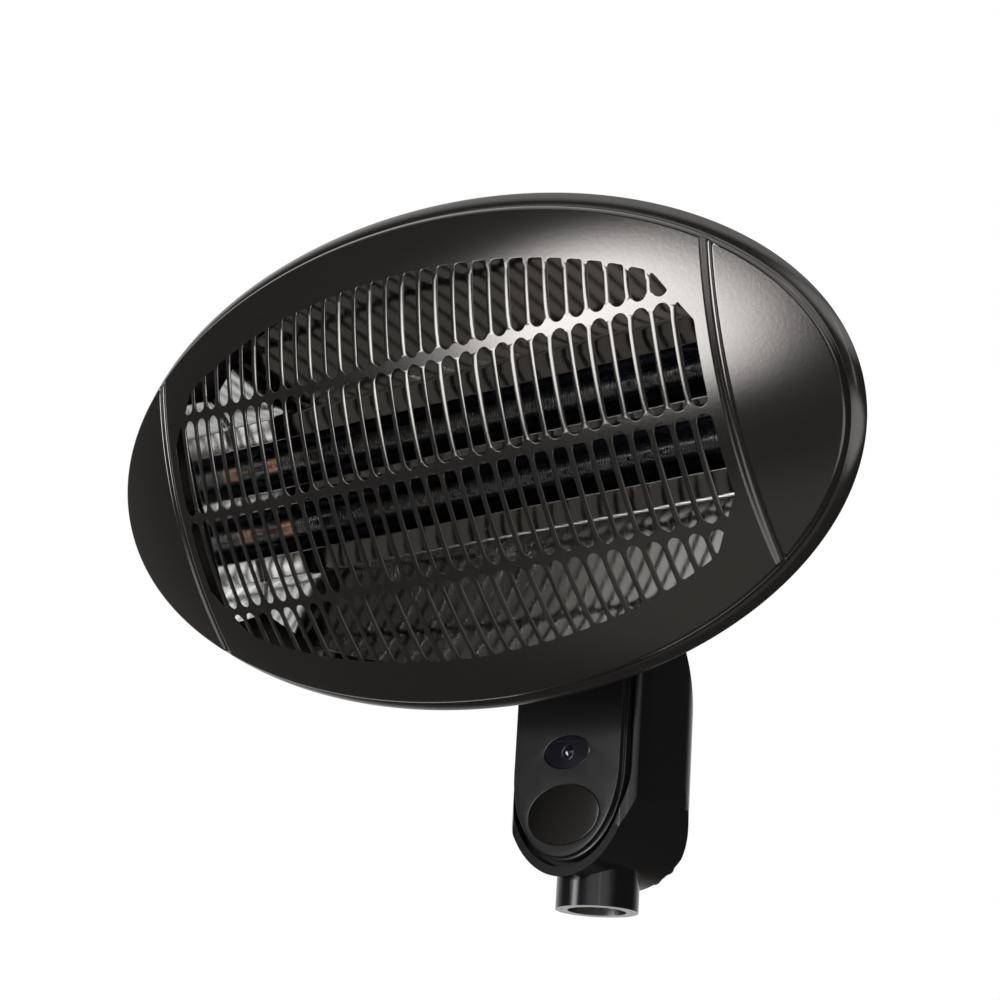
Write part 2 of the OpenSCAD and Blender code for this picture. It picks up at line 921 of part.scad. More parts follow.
// Cheek in the head's Y and Z: from the shell's back down to an eye round the axle
module cheek_plan() {
    polygon([[shell_back_y, bracket_top_z], [shell_back_y + 10, bracket_top_z - 4],
             [axle_back + cheek_r, -axle_drop], [axle_back - cheek_r, 4 - axle_drop],
             [axle_back - cheek_r + 1, 18 - axle_drop], [shell_back_y, bracket_foot_z - 5]]);
    translate([axle_back, -axle_drop])
        circle(r = cheek_r, $fn = round_fn);
}

module tilt_bracket() {
    color("#4a4745")
        in_head()
            difference() {
                union() {
                    both_sides()
                        across(cheek_in_x, cheek_out_x)
                            cheek_plan();
                    translate([-cheek_out_x, shell_back_y, bracket_foot_z])
                        cube([2 * cheek_out_x, bracket_t, bracket_top_z - bracket_foot_z]);
                }
                bar_x(axle_back, -axle_drop, axle_r + fit, -ear_out_x, ear_out_x);
                at_bracket_screws()
                    bar_y(0, 0, m5_r + 0.2, shell_back_y - 1, shell_back_y + bracket_t + 1);
                bar_y(0, head_hole_z, cable_hole_r, shell_back_y - 1, shell_back_y + bracket_t + 1);
            }
}

module bracket_screws() {
    color("#8f8f8f")
        in_head()
            at_bracket_screws()
                translate([0, shell_back_y + bracket_t, 0])
                    pan_screw(m5_r - 0.05, bracket_t + sheet_t + nut_h + 1, m5_head_r, m5_head_h);
}

module bracket_nuts() {
    color("#9a9a98")
        in_head()
            at_bracket_screws()
                translate([0, shell_inside_y, 0])
                    rotate([90, 0, 0])
                        difference() {
                            cylinder(r = nut_r, h = nut_h, $fn = 6);
                            translate([0, 0, -1])
                                cylinder(r = m5_r, h = nut_h + 2, $fn = round_fn);
                        }
}

module bracket_grommet() {
    color("#1d1c1c")
        in_head()
            translate([0, shell_back_y + bracket_t, head_hole_z])
                rotate([90, 0, 0])
                    grommet(sheet_t + bracket_t);
}

module head_lead() {
    color("#1a1a1a")
        in_head()
            swept(head_route, cable_r);
}

// Round-headed bolt through both ears, its end standing in the knob
module tilt_axle() {
    color("#8f8f8f")
        translate([0, 0, tilt_z]) {
            bar_x(0, 0, axle_r, -ear_out_x, ear_out_x + knob_l - 4);
            bar_x(0, 0, axle_head_r, -ear_out_x - axle_head_h, -ear_out_x);
        }
}

module axle_spacer() {
    color("#b0b0ae")
        translate([0, 0, tilt_z])
            difference() {
                bar_x(0, 0, axle_r + 3, gap - cheek_in_x, cheek_in_x - gap);
                bar_x(0, 0, axle_r + 0.02, -ear_out_x, ear_out_x);
            }
}

module friction_washers() {
    color("#d8d4c8")
        translate([0, 0, tilt_z])
            both_sides()
                difference() {
                    bar_x(0, 0, washer_r, cheek_out_x + cheek_gap, ear_in_x);
                    bar_x(0, 0, axle_r + fit, 0, ear_out_x);
                }
}

// Hand knob with round lobes, its axis along Z from 0 to l
module lobed_knob(r, l, bore_r, bore_l) {
    lobes = 6;
    lobe_r = r * 0.3;
    difference() {
        union() {
            cylinder(r = r * 0.55, h = l * 0.25, $fn = round_fn);
            translate([0, 0, l * 0.25])
                linear_extrude(height = l * 0.75) {
                    circle(r = r * 0.8, $fn = fine_fn);
                    for (i = [0 : lobes - 1])
                        rotate(i * 360 / lobes)
                            translate([r - lobe_r, 0])
                                circle(r = lobe_r, $fn = round_fn);
                }
        }
        if (bore_r > 0)
            translate([0, 0, -1])
                cylinder(r = bore_r, h = bore_l + 1, $fn = round_fn);
    }
}

module tilt_knob() {
    color("#1b1b1b")
        translate([ear_out_x + gap, 0, tilt_z])
            rotate([0, 90, 0])
                lobed_knob(knob_r, knob_l, axle_r + fit, knob_l - 3);
}

// ---------------------------------------------------------------- neck

// Front view of the neck or its panel in X and Z: upright sides on a rounded lower end
module rounded_end(half_w, round_h, top_z) {
    steps = 40;
    polygon(concat([[half_w, top_z], [-half_w, top_z]],
                   [for (i = [0 : steps]) let (a = 180 + 180 * i / steps)
                       [half_w * cos(a), neck_straight_z + round_h * sin(a)]]));
}

// Distance of the neck's back from the pole's axis at a height
function back_at(z) = neck_back - bulge_r + sqrt(pow(bulge_r, 2) - pow(z - bulge_z, 2));

// Side view of the neck in Y and Z: a flat front and a bulging back
module neck_side_view(top_z, inset) {
    steps = 24;
    polygon(concat([[body_front_y + inset, top_z], [body_front_y + inset, neck_low_z]],
                   [for (i = [0 : steps]) let (z = neck_low_z + (top_z - neck_low_z) * i / steps)
                       [back_at(z) - inset, z]]));
}

// Plan view of the neck, drawn in X and Y, with its front and back corners rounded
module neck_plan(inset) {
    front_x = ear_out_x - front_corner_r;
    back_x = ear_out_x - back_corner_r;
    for (side = [-1, 1]) {
        translate([side * front_x, front_corner_r - neck_front])
            circle(r = front_corner_r - inset, $fn = fine_fn);
        translate([side * back_x, neck_back - back_corner_r])
            circle(r = back_corner_r - inset, $fn = fine_fn);
    }
    translate([-front_x, inset - neck_front])
        square([2 * front_x, neck_front + neck_back / 2]);
    translate([-back_x, 0])
        square([2 * back_x, neck_back - inset]);
    translate([inset - ear_out_x, front_corner_r - neck_front])
        square([2 * (ear_out_x - inset), neck_front + neck_back - front_corner_r - back_corner_r]);
}

module neck_form(inset, top_z) {
    intersection() {
        deep(-neck_front - 1, neck_back + 1)
            rounded_end(ear_out_x - inset, neck_round_h - inset, top_z);
        across(-ear_out_x - 1, ear_out_x + 1)
            neck_side_view(top_z, inset);
        linear_extrude(height = top_z + 1)
            neck_plan(inset);
    }
}

// Box across the whole neck between two depths
module slab(y0, y1, z0, z1) {
    translate([-ear_out_x - 1, y0, z0])
        cube([neck_w + 2, y1 - y0, z1 - z0]);
}

// One ear: an eye for the axle on a foot that stands on the side wall
module ear() {
    root_z = roof_z - 4;
    difference() {
        union() {
            bar_x(0, tilt_z, ear_r, ear_in_x, ear_out_x);
            across(ear_in_x, ear_out_x)
                polygon([[-ear_r, tilt_z], [body_front_y + 1, roof_z], [back_at(roof_z), roof_z],
                         [ear_r, tilt_z]]);
            intersection() {
                neck_form(0, roof_z);
                across(ear_in_x, ear_out_x)
                    translate([body_front_y, root_z])
                        square([split_y - body_front_y, roof_z - root_z]);
            }
        }
        bar_x(0, tilt_z, axle_r + fit, ear_in_x - 1, ear_out_x + 1);
    }
}

module at_cover_screws() {
    for (side = [-1, 1])
        for (place = [boss_low, boss_high])
            translate([side * place.x, 0, place.y])
                children();
}

module at_board_posts() {
    for (x = [-board_post_x, board_post_x])
        for (z = board_post_z)
            translate([x, 0, z])
                children();
}

module neck_body() {
    color("#171717")
        difference() {
            union() {
                difference() {
                    neck_form(0, roof_z);
                    neck_form(neck_wall, roof_z - neck_wall);
                    slab(split_y, neck_back + 1, 0, roof_z + 1);
                }
                intersection() {
                    neck_form(0, roof_z);
                    union() {
                        deep(recess_y, front_wall_y)
                            rounded_end(recess_half_w + neck_wall, neck_round_h, roof_z);
                        deep(body_front_y, front_wall_y)
                            difference() {
                                rounded_end(ear_out_x, neck_round_h, roof_z);
                                rounded_end(recess_half_w, recess_half_w * neck_round_h / ear_out_x,
                                            recess_top_z);
                            }
                        at_cover_screws()
                            bar_y(0, 0, boss_r, recess_y, split_y);
                        at_board_posts()
                            bar_y(0, 0, board_post_r, recess_y, board_y);
                        translate([-saddle_half_w, recess_y, saddle_z[0]])
                            cube([2 * saddle_half_w, -recess_y, saddle_z[1] - saddle_z[0]]);
                    }
                }
                cylinder(r = collar_r, h = collar_top_z, $fn = fine_fn);
                both_sides()
                    ear();
            }
            translate([0, 0, -1])
                cylinder(r = sleeve_out_r + sleeve_fit, h = sleeve_top_z + 2, $fn = fine_fn);
            deep(-neck_front - 1, recess_y)
                rounded_end(recess_half_w, recess_half_w * neck_round_h / ear_out_x, recess_top_z);
            at_cover_screws()
                bar_y(0, 0, m3_r - 0.05, split_y - 10, split_y + 1);
            at_board_posts()
                bar_y(0, 0, m3_r - 0.05, board_y - 6, board_y + 1);
            for (z = socket_screw_z)
                bar_y(0, z, m3_r + fit, recess_y - 1, 0);
            translate([0, 0, lens_z])
                deep(recess_y - 1, front_wall_y + 1)
                    oval(receiver_r + 2, receiver_r + 2);
            bar_y(0, clamp_z, clamp_nut_r + 0.5, 0, neck_back);
            translate([roof_hole.x, roof_hole.y, roof_z - 8])
                cylinder(r = cable_hole_r, h = 12, $fn = round_fn);
        }
}

module neck_back_cover() {
    color("#171717")
        difference() {
            union() {
                difference() {
                    neck_form(0, roof_z);
                    neck_form(neck_wall, roof_z - neck_wall);
                }
                intersection() {
                    neck_form(0, roof_z);
                    at_cover_screws()
                        bar_y(0, 0, boss_r + 1, split_y, neck_back);
                }
                bar_y(gland_x, gland_z, gland_r + 2, neck_back - 4, neck_back);
                translate([-switch_w / 2 - switch_pad, switch_y - switch_pad_d,
                           switch_z - switch_h / 2 - switch_pad])
                    cube([switch_w + 2 * switch_pad, switch_pad_d, switch_h + 2 * switch_pad]);
            }
            slab(-neck_front, split_y + 0.05, 0, roof_z + 1);
            translate([0, 0, -1])
                cylinder(r = collar_r + 0.1, h = collar_top_z + 1.1, $fn = fine_fn);
            at_cover_screws() {
                bar_y(0, 0, m3_head_r + 0.5, boss_seat_y, neck_back + 1);
                bar_y(0, 0, m3_r + 0.2, split_y - 1, neck_back);
            }
            bar_y(0, clamp_z, clamp_nut_r + 0.5, split_y, neck_back + 1);
            bar_y(gland_x, gland_z, gland_r - 2, split_y, neck_back + 1);
            translate([-switch_w / 2, split_y, switch_z - switch_h / 2])
                cube([switch_w, neck_back, switch_h]);
        }
}

module cover_screws() {
    color("#8f8f8f")
        at_cover_screws()
            translate([0, boss_seat_y, 0])
                pan_screw(m3_r - 0.05, 12, m3_head_r, m3_head_h);
}

// Tray that closes the recess in the neck's front, with a flange round its foot
module front_panel() {
    color("#232325")
        difference() {
            union() {
                deep(-neck_front, recess_y)
                    rounded_end(panel_half_w, panel_round_h, recess_top_z - 2);
                deep(flange_y, recess_y)
                    rounded_end(panel_half_w + flange_w, panel_round_h + flange_w, recess_top_z - 0.5);
            }
            deep(panel_wall - neck_front, recess_y + 1)
                rounded_end(panel_hollow_w, panel_round_h - panel_wall, recess_top_z - 4);
            translate([0, 0, lens_z])
                deep(-neck_front - 1, 0)
                    oval(lens_w / 2 + 0.2, lens_h / 2 + 0.2);
            translate([0, 0, badge_z])
                deep(-neck_front - 1, badge_t - 0.2 - neck_front)
                    oval(badge_w / 2 + 0.1, badge_h / 2 + 0.1);
        }
}

// Smoked oval lens with a bulge over the receiver
module receiver_lens() {
    front_y = 0.6 - neck_front;
    color("#0c0c12")
        translate([0, 0, lens_z]) {
            deep(front_y, front_y + lens_t)
                oval(lens_w / 2, lens_h / 2);
            intersection() {
                translate([0, front_y + lens_bulge_r - lens_bulge, 0])
                    sphere(r = lens_bulge_r, $fn = round_fn);
                bar_y(0, 0, lens_bulge_r, front_y - lens_bulge - 1, front_y + 0.5);
            }
        }
}

module badge_plate() {
    color("#050505")
        translate([0, 0, badge_z])
            deep(-neck_front - 0.2, badge_t - 0.25 - neck_front)
                oval(badge_w / 2, badge_h / 2);
}

// Steel sleeve that takes the pole, with a nut welded on for the clamp screw
module pole_socket_sleeve() {
    color("#8d8d8a")
        difference() {
            union() {
                cylinder(r = sleeve_out_r, h = sleeve_top_z, $fn = fine_fn);
                bar_y(0, clamp_z, clamp_nut_r, sleeve_out_r - 3, clamp_nut_y);
            }
            translate([0, 0, -1])
                cylinder(r = pole_r, h = pole_depth + 1, $fn = fine_fn);
            bar_y(0, clamp_z, clamp_r + fit, 0, clamp_nut_y + 1);
            for (z = socket_screw_z)
                bar_y(0, z, m3_r + 0.02, -sleeve_out_r - 1, 0);
        }
}

module socket_screws() {
    color("#8f8f8f")
        for (z = socket_screw_z)
            translate([0, recess_y, z])
                rotate([0, 0, 180])
                    pan_screw(m3_r, -recess_y - pole_r - 0.3, m3_head_r, m3_head_h);
}

module clamp_knob() {
    color("#1b1b1b")
        translate([0, 0, clamp_z]) {
            bar_y(0, 0, clamp_r, pole_r + 0.3, clamp_knob_y + 2);
            translate([0, clamp_knob_y, 0])
                rotate([-90, 0, 0])
                    lobed_knob(clamp_knob_r, clamp_knob_l, 0, 0);
        }
}

module cable_gland() {
    color("#141414")
        translate([gland_x, 0, gland_z])
            difference() {
                union() {
                    bar_y(0, 0, gland_r - 2.1, gland_in_y, neck_back);
                    bar_y(0, 0, gland_r, neck_back, neck_back + 5);
                    bar_y(0, 0, gland_r - 1.5, neck_back + 5, neck_back + gland_l - 5);
                    bar_y(0, 0, gland_r - 3, neck_back + gland_l - 5, neck_back + gland_l);
                }
                bar_y(0, 0, cable_r + 0.6, gland_in_y + 0.5, neck_back + gland_l + 1);
                bar_y(0, 0, cable_r + fit, gland_in_y - 1, gland_in_y + 1);
            }
}

module switch_body() {
    color("#101010")
        translate([0, 0, switch_z])
            difference() {
                union() {
                    translate([0.2 - switch_w / 2, switch_y - switch_d, 0.2 - switch_h / 2])
                        cube([switch_w - 0.4, switch_d, switch_h - 0.4]);
                    translate([-switch_w / 2 - switch_rim, switch_y, -switch_h / 2 - switch_rim])
                        cube([switch_w + 2 * switch_rim, switch_rim, switch_h + 2 * switch_rim]);
                }
                translate([-rocker_w / 2 - gap, switch_y - 8, -rocker_h / 2 - 1])
                    cube([rocker_w + 2 * gap, 12, rocker_h + 2]);
            }
    color("#101010")
        bar_x(rocker_pin_y, switch_z, rocker_pin_r, -rocker_w / 2 - 1, rocker_w / 2 + 1);
}

// Rocker in its off position, leaning about the pin across the switch
module switch_rocker() {
    color("#2a2a2a")
        translate([0, rocker_pin_y, switch_z])
            difference() {
                rotate([rocker_off, 0, 0])
                    across(-rocker_w / 2, rocker_w / 2)
                        polygon([[-2.4, -2.6], [1, -rocker_h / 2], [4, -rocker_h / 2 + 0.2],
                                 [3, 0], [4, rocker_h / 2 - 0.2], [1, rocker_h / 2],
                                 [-2.4, 2.6]]);
                bar_x(0, 0, rocker_pin_r + fit, -rocker_w, rocker_w);
            }
}

module switch_wires() {
    color("#b8b4aa")
        for (side = [0, 4])
            swept([for (p = switch_route) p - [side, 0, 0]], wire_r);
}

module control_board() {
    color("#27543a")
        difference() {
            translate([-board_half_w, board_y, board_z[0]])
                cube([2 * board_half_w, board_t, board_z[1] - board_z[0]]);
            at_board_posts()
                bar_y(0, 0, m3_r + 0.2, board_y - 1, board_back_y + 1);
        }
}

module board_screws() {
    color("#8f8f8f")
        at_board_posts()
            translate([0, board_back_y, 0])
                pan_screw(m3_r - 0.05, board_t + 4, m3_head_r, m3_head_h);
}

module board_relays() {
    color("#2456a0")
        for (side = [-1, 1])
            translate([side * (relay_w / 2 + 0.5) - relay_w / 2, board_back_y, relay_z])
                cube([relay_w, relay_d, relay_h]);
}

module board_terminals() {
    color("#2f7d4a")
        difference() {
            translate([-terminal_half_w, board_back_y, terminal_z[0]])
                cube([2 * terminal_half_w, terminal_d, terminal_z[1] - terminal_z[0]]);
            for (i = [-2 : 2])
                translate([i * 7, board_back_y + terminal_d / 2, terminal_z[1] - 3])
                    cylinder(r = 1.7, h = 4, $fn = round_fn);
        }
}

module receiver_module() {
    color("#202024")
        translate([0, 0, lens_z]) {
            translate([-receiver_block.x / 2, board_y - receiver_block.y, -receiver_block.z / 2 + 1.6])
                cube(receiver_block);
            bar_y(0, 0, receiver_r, -neck_front + 0.6 + lens_t + gap, board_y - receiver_block.y);
        }
}

// Grommet with a lip on each side of the wall it sits in, its axis along Z
module grommet(wall) {
    difference() {
        union() {
            translate([0, 0, -0.1])
                cylinder(r = cable_hole_r - fit, h = wall + 0.2, $fn = round_fn);
            for (z = [-grommet_lip, wall])
                translate([0, 0, z])
                    cylinder(r = cable_hole_r + 1.2, h = grommet_lip, $fn = round_fn);
        }
        translate([0, 0, -grommet_lip - 1])
            cylinder(r = cable_r + 0.4, h = wall + 2 * grommet_lip + 2, $fn = round_fn);
    }
}

module roof_grommet() {
    color("#1d1c1c")
        translate([roof_hole.x, roof_hole.y, roof_z - neck_wall])
            grommet(neck_wall);
}

module neck_lead() {
    color("#1a1a1a")
        swept([for (p = neck_route) p + [0, 0, tilt_z]], cable_r);
}

module supply_lead() {
    color("#1a1a1a")
        swept(supply_route, cable_r);
}

slotted_face_grille();
grille_posts();
rear_shell();
shell_screws();
reflector();
left_reflector_end();
right_reflector_end();
reflector_supports();
support_screws();
upper_quartz_tube();
lower_quartz_tube();
upper_heating_coil();
lower_heating_coil();
coil_end_sleeves();
ceramic_end_caps();
left_element_bracket();
right_element_bracket();
element_leads();
head_terminal_block();
thermal_cutout();
tilt_bracket();
bracket_screws();
bracket_nuts();
bracket_grommet();
head_lead();
tilt_axle();
axle_spacer();
friction_washers();
tilt_knob();
neck_body();
neck_back_cover();
cover_screws();
front_panel();
receiver_lens();
badge_plate();
pole_socket_sleeve();
socket_screws();
clamp_knob();
cable_gland();
switch_body();
switch_rocker();
switch_wires();
control_board();
board_screws();
board_relays();
board_terminals();
receiver_module();
roof_grommet();
neck_lead();
supply_lead();
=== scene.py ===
"""Tilting parabolic heater head on its neck: slotted dome, mirror, quartz elements, tilt joint and neck."""
import logging
import math
from dataclasses import dataclass
from enum import Enum
from typing import Callable, Sequence

import bmesh
import bpy
from mathutils import Matrix, Vector
from mathutils.geometry import delaunay_2d_cdt


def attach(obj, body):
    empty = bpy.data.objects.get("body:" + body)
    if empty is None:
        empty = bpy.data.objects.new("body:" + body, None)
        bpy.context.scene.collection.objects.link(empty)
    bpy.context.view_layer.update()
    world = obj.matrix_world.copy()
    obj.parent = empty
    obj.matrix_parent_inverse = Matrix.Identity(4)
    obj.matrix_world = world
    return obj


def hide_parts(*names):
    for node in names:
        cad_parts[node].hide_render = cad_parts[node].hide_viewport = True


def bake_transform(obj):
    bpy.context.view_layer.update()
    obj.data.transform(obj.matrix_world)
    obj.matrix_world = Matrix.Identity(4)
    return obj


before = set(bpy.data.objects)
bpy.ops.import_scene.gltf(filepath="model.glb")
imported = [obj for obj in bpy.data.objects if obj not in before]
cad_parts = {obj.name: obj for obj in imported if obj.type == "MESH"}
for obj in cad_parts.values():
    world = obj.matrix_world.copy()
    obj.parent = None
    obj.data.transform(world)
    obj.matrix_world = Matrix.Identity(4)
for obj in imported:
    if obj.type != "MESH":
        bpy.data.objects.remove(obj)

log = logging.getLogger("heater")

MM = 0.001
EASED_FROM = math.radians(32)
SHARP_FROM = math.radians(42)
TILT_Z = 149.5
HEAD_LEAN = math.radians(25)
HEAD_FROM_AXLE = (0, -93.5, 90.5)
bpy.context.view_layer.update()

Point = tuple[float, float, float]
Flat = tuple[float, float]
Colour = tuple[float, float, float]
Faces = list[tuple[int, ...]]
Skin = tuple[list[Point], Faces]


class Body(Enum):
    """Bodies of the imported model, with the axes in which their pieces are drawn, in millimetres."""

    NECK = "neck"
    HEAD = "head"
    TILT_KNOB = "tilt_knob"
    CLAMP_KNOB = "clamp_knob"
    ROCKER = "switch_rocker"

    @property
    def axes(self) -> Matrix:
        """Matrix from the body's drawing axes, in millimetres, to the frame, in metres."""
        if self is Body.HEAD:
            return (Matrix.Scale(MM, 4) @ Matrix.Translation((0, 0, TILT_Z))
                    @ Matrix.Rotation(HEAD_LEAN, 4, "X") @ Matrix.Translation(HEAD_FROM_AXLE))
        return Matrix.Scale(MM, 4)


# ---------------------------------------------------------------- node trees


class Num:
    """A number in a node tree. Arithmetic on it adds Math nodes."""

    def __init__(self, graph: "Graph", socket: bpy.types.NodeSocket) -> None:
        """Wraps one output socket."""
        self.graph = graph
        self.socket = socket

    def __add__(self, other: "Num | float") -> "Num":
        """self + other"""
        return self.graph.math("ADD", self, other)

    __radd__ = __add__

    def __sub__(self, other: "Num | float") -> "Num":
        """self - other"""
        return self.graph.math("SUBTRACT", self, other)

    def __rsub__(self, other: float) -> "Num":
        """other - self"""
        return self.graph.math("SUBTRACT", other, self)

    def __mul__(self, other: "Num | float") -> "Num":
        """self * other"""
        return self.graph.math("MULTIPLY", self, other)

    __rmul__ = __mul__

    def __truediv__(self, other: "Num | float") -> "Num":
        """self / other"""
        return self.graph.math("DIVIDE", self, other)

    def __abs__(self) -> "Num":
        """abs(self)"""
        return self.graph.math("ABSOLUTE", self)

    def root(self) -> "Num":
        """Square root."""
        return self.graph.math("SQRT", self)

    def at_least(self, other: "Num | float") -> "Num":
        """The larger of the two."""
        return self.graph.math("MAXIMUM", self, other)

    def at_most(self, other: "Num | float") -> "Num":
        """The smaller of the two."""
        return self.graph.math("MINIMUM", self, other)

    def step(self, start: float, end: float, low: float = 0.0, high: float = 1.0) -> "Num":
        """Smooth step from low at start to high at end."""
        node = self.graph.add("ShaderNodeMapRange", {0: self, 1: start, 2: end, 3: low, 4: high},
                              {"interpolation_type": "SMOOTHSTEP"})
        return Num(self.graph, node.outputs[0])


class Graph:
    """Adds nodes to one shader or geometry tree."""

    def __init__(self, tree: bpy.types.NodeTree) -> None:
        """Wraps a node tree."""
        self.tree = tree

    def add(self, kind: str, inputs: dict | None = None, settings: dict | None = None) -> bpy.types.Node:
        """Adds one node.

        Args:
            kind: The node's type.
            inputs: Values or links of its sockets, by name or index.
            settings: Its own settings, set first.

        Returns:
            The node.
        """
        node = self.tree.nodes.new(kind)
        for key, value in (settings or {}).items():
            setattr(node, key, value)
        for key, value in (inputs or {}).items():
            self.feed(node.inputs[key], value)
        return node

    def feed(self, socket: bpy.types.NodeSocket, value: object) -> None:
        """Links or sets one input socket."""
        if isinstance(value, Num):
            self.tree.links.new(value.socket, socket)
        elif isinstance(value, bpy.types.NodeSocket):
            self.tree.links.new(value, socket)
        elif isinstance(value, tuple) and socket.type == "RGBA" and len(value) == 3:
            socket.default_value = (*value, 1.0)
        else:
            socket.default_value = value

    def math(self, operation: str, *values: "Num | float") -> Num:
        """One Math node."""
        node = self.add("ShaderNodeMath", dict(enumerate(values)), {"operation": operation})
        return Num(self, node.outputs[0])

    def coords(self, stretch: Point = (1.0, 1.0, 1.0)) -> bpy.types.NodeSocket:
        """Object coordinates in metres, scaled by stretch."""
        base = self.add("ShaderNodeTexCoord").outputs["Object"]
        return self.add("ShaderNodeMapping", {"Vector": base, "Scale": stretch}).outputs[0]

    def noise(self, scale: float, detail: float, vector: bpy.types.NodeSocket | None = None) -> Num:
        """Noise between 0 and 1, on Object coordinates where no vector is given."""
        node = self.add("ShaderNodeTexNoise", {"Vector": vector or self.coords(), "Scale": scale,
                                               "Detail": detail, "Roughness": 0.5})
        return Num(self, node.outputs[0])

    def cells(self, scale: float) -> Num:
        """A random level for each Voronoi cell, such as a metal flake."""
        node = self.add("ShaderNodeTexVoronoi", {"Vector": self.coords(), "Scale": scale})
        split = self.add("ShaderNodeSeparateColor", {0: node.outputs["Color"]})
        return Num(self, split.outputs[0])

    def mix(self, share: "Num | float", low: object, high: object) -> bpy.types.NodeSocket:
        """Mix of two colours."""
        return self.add("ShaderNodeMix", {0: share, 6: low, 7: high}, {"data_type": "RGBA"}).outputs[2]

    def bump(self, height: Num, distance: float) -> bpy.types.NodeSocket:
        """Bump of a height given in parts of distance, in metres."""
        inputs = {"Height": height, "Distance": distance, "Strength": 1.0}
        return self.add("ShaderNodeBump", inputs).outputs[0]


# ---------------------------------------------------------------- finishes


@dataclass(frozen=True)
class Finish:
    """A surface finish: its material's name, the record's slot and the shader's steady values."""

    name: str
    slot: str
    colour: Colour = (0.5, 0.5, 0.5)
    metallic: float = 0.0
    roughness: float = 0.5

    def material(self) -> bpy.types.Material:
        """Builds the material once.

        Returns:
            The finished material.
        """
        made = bpy.data.materials.get(self.name)
        if made:
            return made
        made = bpy.data.materials.new(self.name)
        made.use_nodes = True
        made.diffuse_color = (*self.colour, 1.0)
        made.node_tree.nodes.clear()
        graph = Graph(made.node_tree)
        shader = graph.add("ShaderNodeBsdfPrincipled", {"Base Color": self.colour, "Metallic": self.metallic,
                                                        "Roughness": self.roughness})
        graph.add("ShaderNodeOutputMaterial", {"Surface": shader.outputs[0]})
        self.dress(graph, shader.inputs)
        return made

    def dress(self, graph: Graph, inputs: bpy.types.NodeInputs) -> None:
        """Adds what varies over the surface."""
        raise NotImplementedError


@dataclass(frozen=True)
class FlakePaint(Finish):
    """Baked metallic paint: fine flakes, a slight orange peel and uneven gloss."""

    flake: float = 0.16
    flakes_per_m: float = 2600.0
    peel: float = 0.000011

    def dress(self, graph: Graph, inputs: bpy.types.NodeInputs) -> None:
        """Flakes brighten and dull the colour, and the peel bends the gloss."""
        fleck = graph.cells(self.flakes_per_m)
        cloud = graph.noise(14.0, 3.0)
        level = (fleck - 0.5) * self.flake + (cloud - 0.5) * 0.16 + 0.5
        dark = tuple(c * 0.62 for c in self.colour)
        light = tuple(min(1.0, c * 1.42) for c in self.colour)
        graph.feed(inputs["Base Color"], graph.mix(level, dark, light))
        graph.feed(inputs["Roughness"], self.roughness + (cloud - 0.5) * 0.03 + (fleck - 0.5) * 0.03)
        height = graph.noise(560.0, 1.5) + graph.noise(1500.0, 1.0) * 0.3
        graph.feed(inputs["Normal"], graph.bump(height, self.peel))


@dataclass(frozen=True)
class PolishedSheet(Finish):
    """Bright rolled aluminium: faint roll lines, a slow waviness, and painted shade, darker and bluish, where
    "deep" is set.
    """

    line_stretch: Point = (900.0, 18.0, 18.0)
    wave: float = 0.00005

    def dress(self, graph: Graph, inputs: bpy.types.NodeInputs) -> None:
        """Roll lines vary the tone and gloss, the waves bend the reflections, and painted shade darkens and blues
        the sheet where it is deep.
        """
        lines = graph.noise(1.0, 2.0, graph.coords(self.line_stretch))
        stain = graph.noise(16.0, 4.0)
        dark = tuple(c * 0.72 for c in self.colour)
        deep = Num(graph, graph.add("ShaderNodeAttribute", {}, {"attribute_name": "deep"}).outputs["Fac"])
        clean = graph.mix(lines * 0.6 + stain * 0.4, dark, self.colour)
        # Painted shade: deep in the troughs the sheet's colour turns darker and bluish.
        painted_trough_shade = graph.mix(stain, (0.10, 0.10, 0.12), (0.20, 0.20, 0.24))
        graph.feed(inputs["Base Color"], graph.mix(deep, clean, painted_trough_shade))
        gloss = self.roughness + deep * 0.1
        graph.feed(inputs["Roughness"], gloss + (lines - 0.5) * 0.07 + (stain - 0.5) * 0.06)
        graph.feed(inputs["Normal"], graph.bump(graph.noise(26.0, 1.0) + lines * 0.02, self.wave))


@dataclass(frozen=True)
class PlainMetal(Finish):
    """Zinc-plated or bare steel: drawn grain, handling marks and a mottled gloss."""

    grain: Point = (260.0, 260.0, 260.0)
    depth: float = 0.00001

    def dress(self, graph: Graph, inputs: bpy.types.NodeInputs) -> None:
        """Grain and mottling on colour, gloss and relief."""
        grain = graph.noise(1.0, 3.0, graph.coords(self.grain))
        mottle = graph.noise(70.0, 4.0)
        dark = tuple(c * 0.6 for c in self.colour)
        graph.feed(inputs["Base Color"], graph.mix(grain * 0.5 + mottle * 0.5, dark, self.colour))
        graph.feed(inputs["Roughness"], self.roughness + (mottle - 0.5) * 0.22)
        graph.feed(inputs["Normal"], graph.bump(grain, self.depth))


@dataclass(frozen=True)
class Moulding(Finish):
    """Moulded plastic, rubber or ceramic: a fine grain, faint flow marks and gloss that wears unevenly."""

    grain_per_m: float = 900.0
    depth: float = 0.00001
    variety: float = 0.25
    gloss_change: float = 0.12
    coat: float = 0.0

    def dress(self, graph: Graph, inputs: bpy.types.NodeInputs) -> None:
        """Grain, flow marks and worn gloss."""
        grain = graph.noise(self.grain_per_m, 2.0)
        flow = graph.noise(22.0, 4.0)
        dark = tuple(c * (1 - self.variety) for c in self.colour)
        light = tuple(min(1.0, c * (1 + self.variety)) for c in self.colour)
        graph.feed(inputs["Base Color"], graph.mix(flow * 0.7 + grain * 0.3, dark, light))
        graph.feed(inputs["Roughness"], self.roughness + (flow - 0.5) * self.gloss_change)
        graph.feed(inputs["Normal"], graph.bump(grain, self.depth))
        if self.coat:
            inputs["Coat Weight"].default_value = self.coat
            inputs["Coat Roughness"].default_value = 0.04


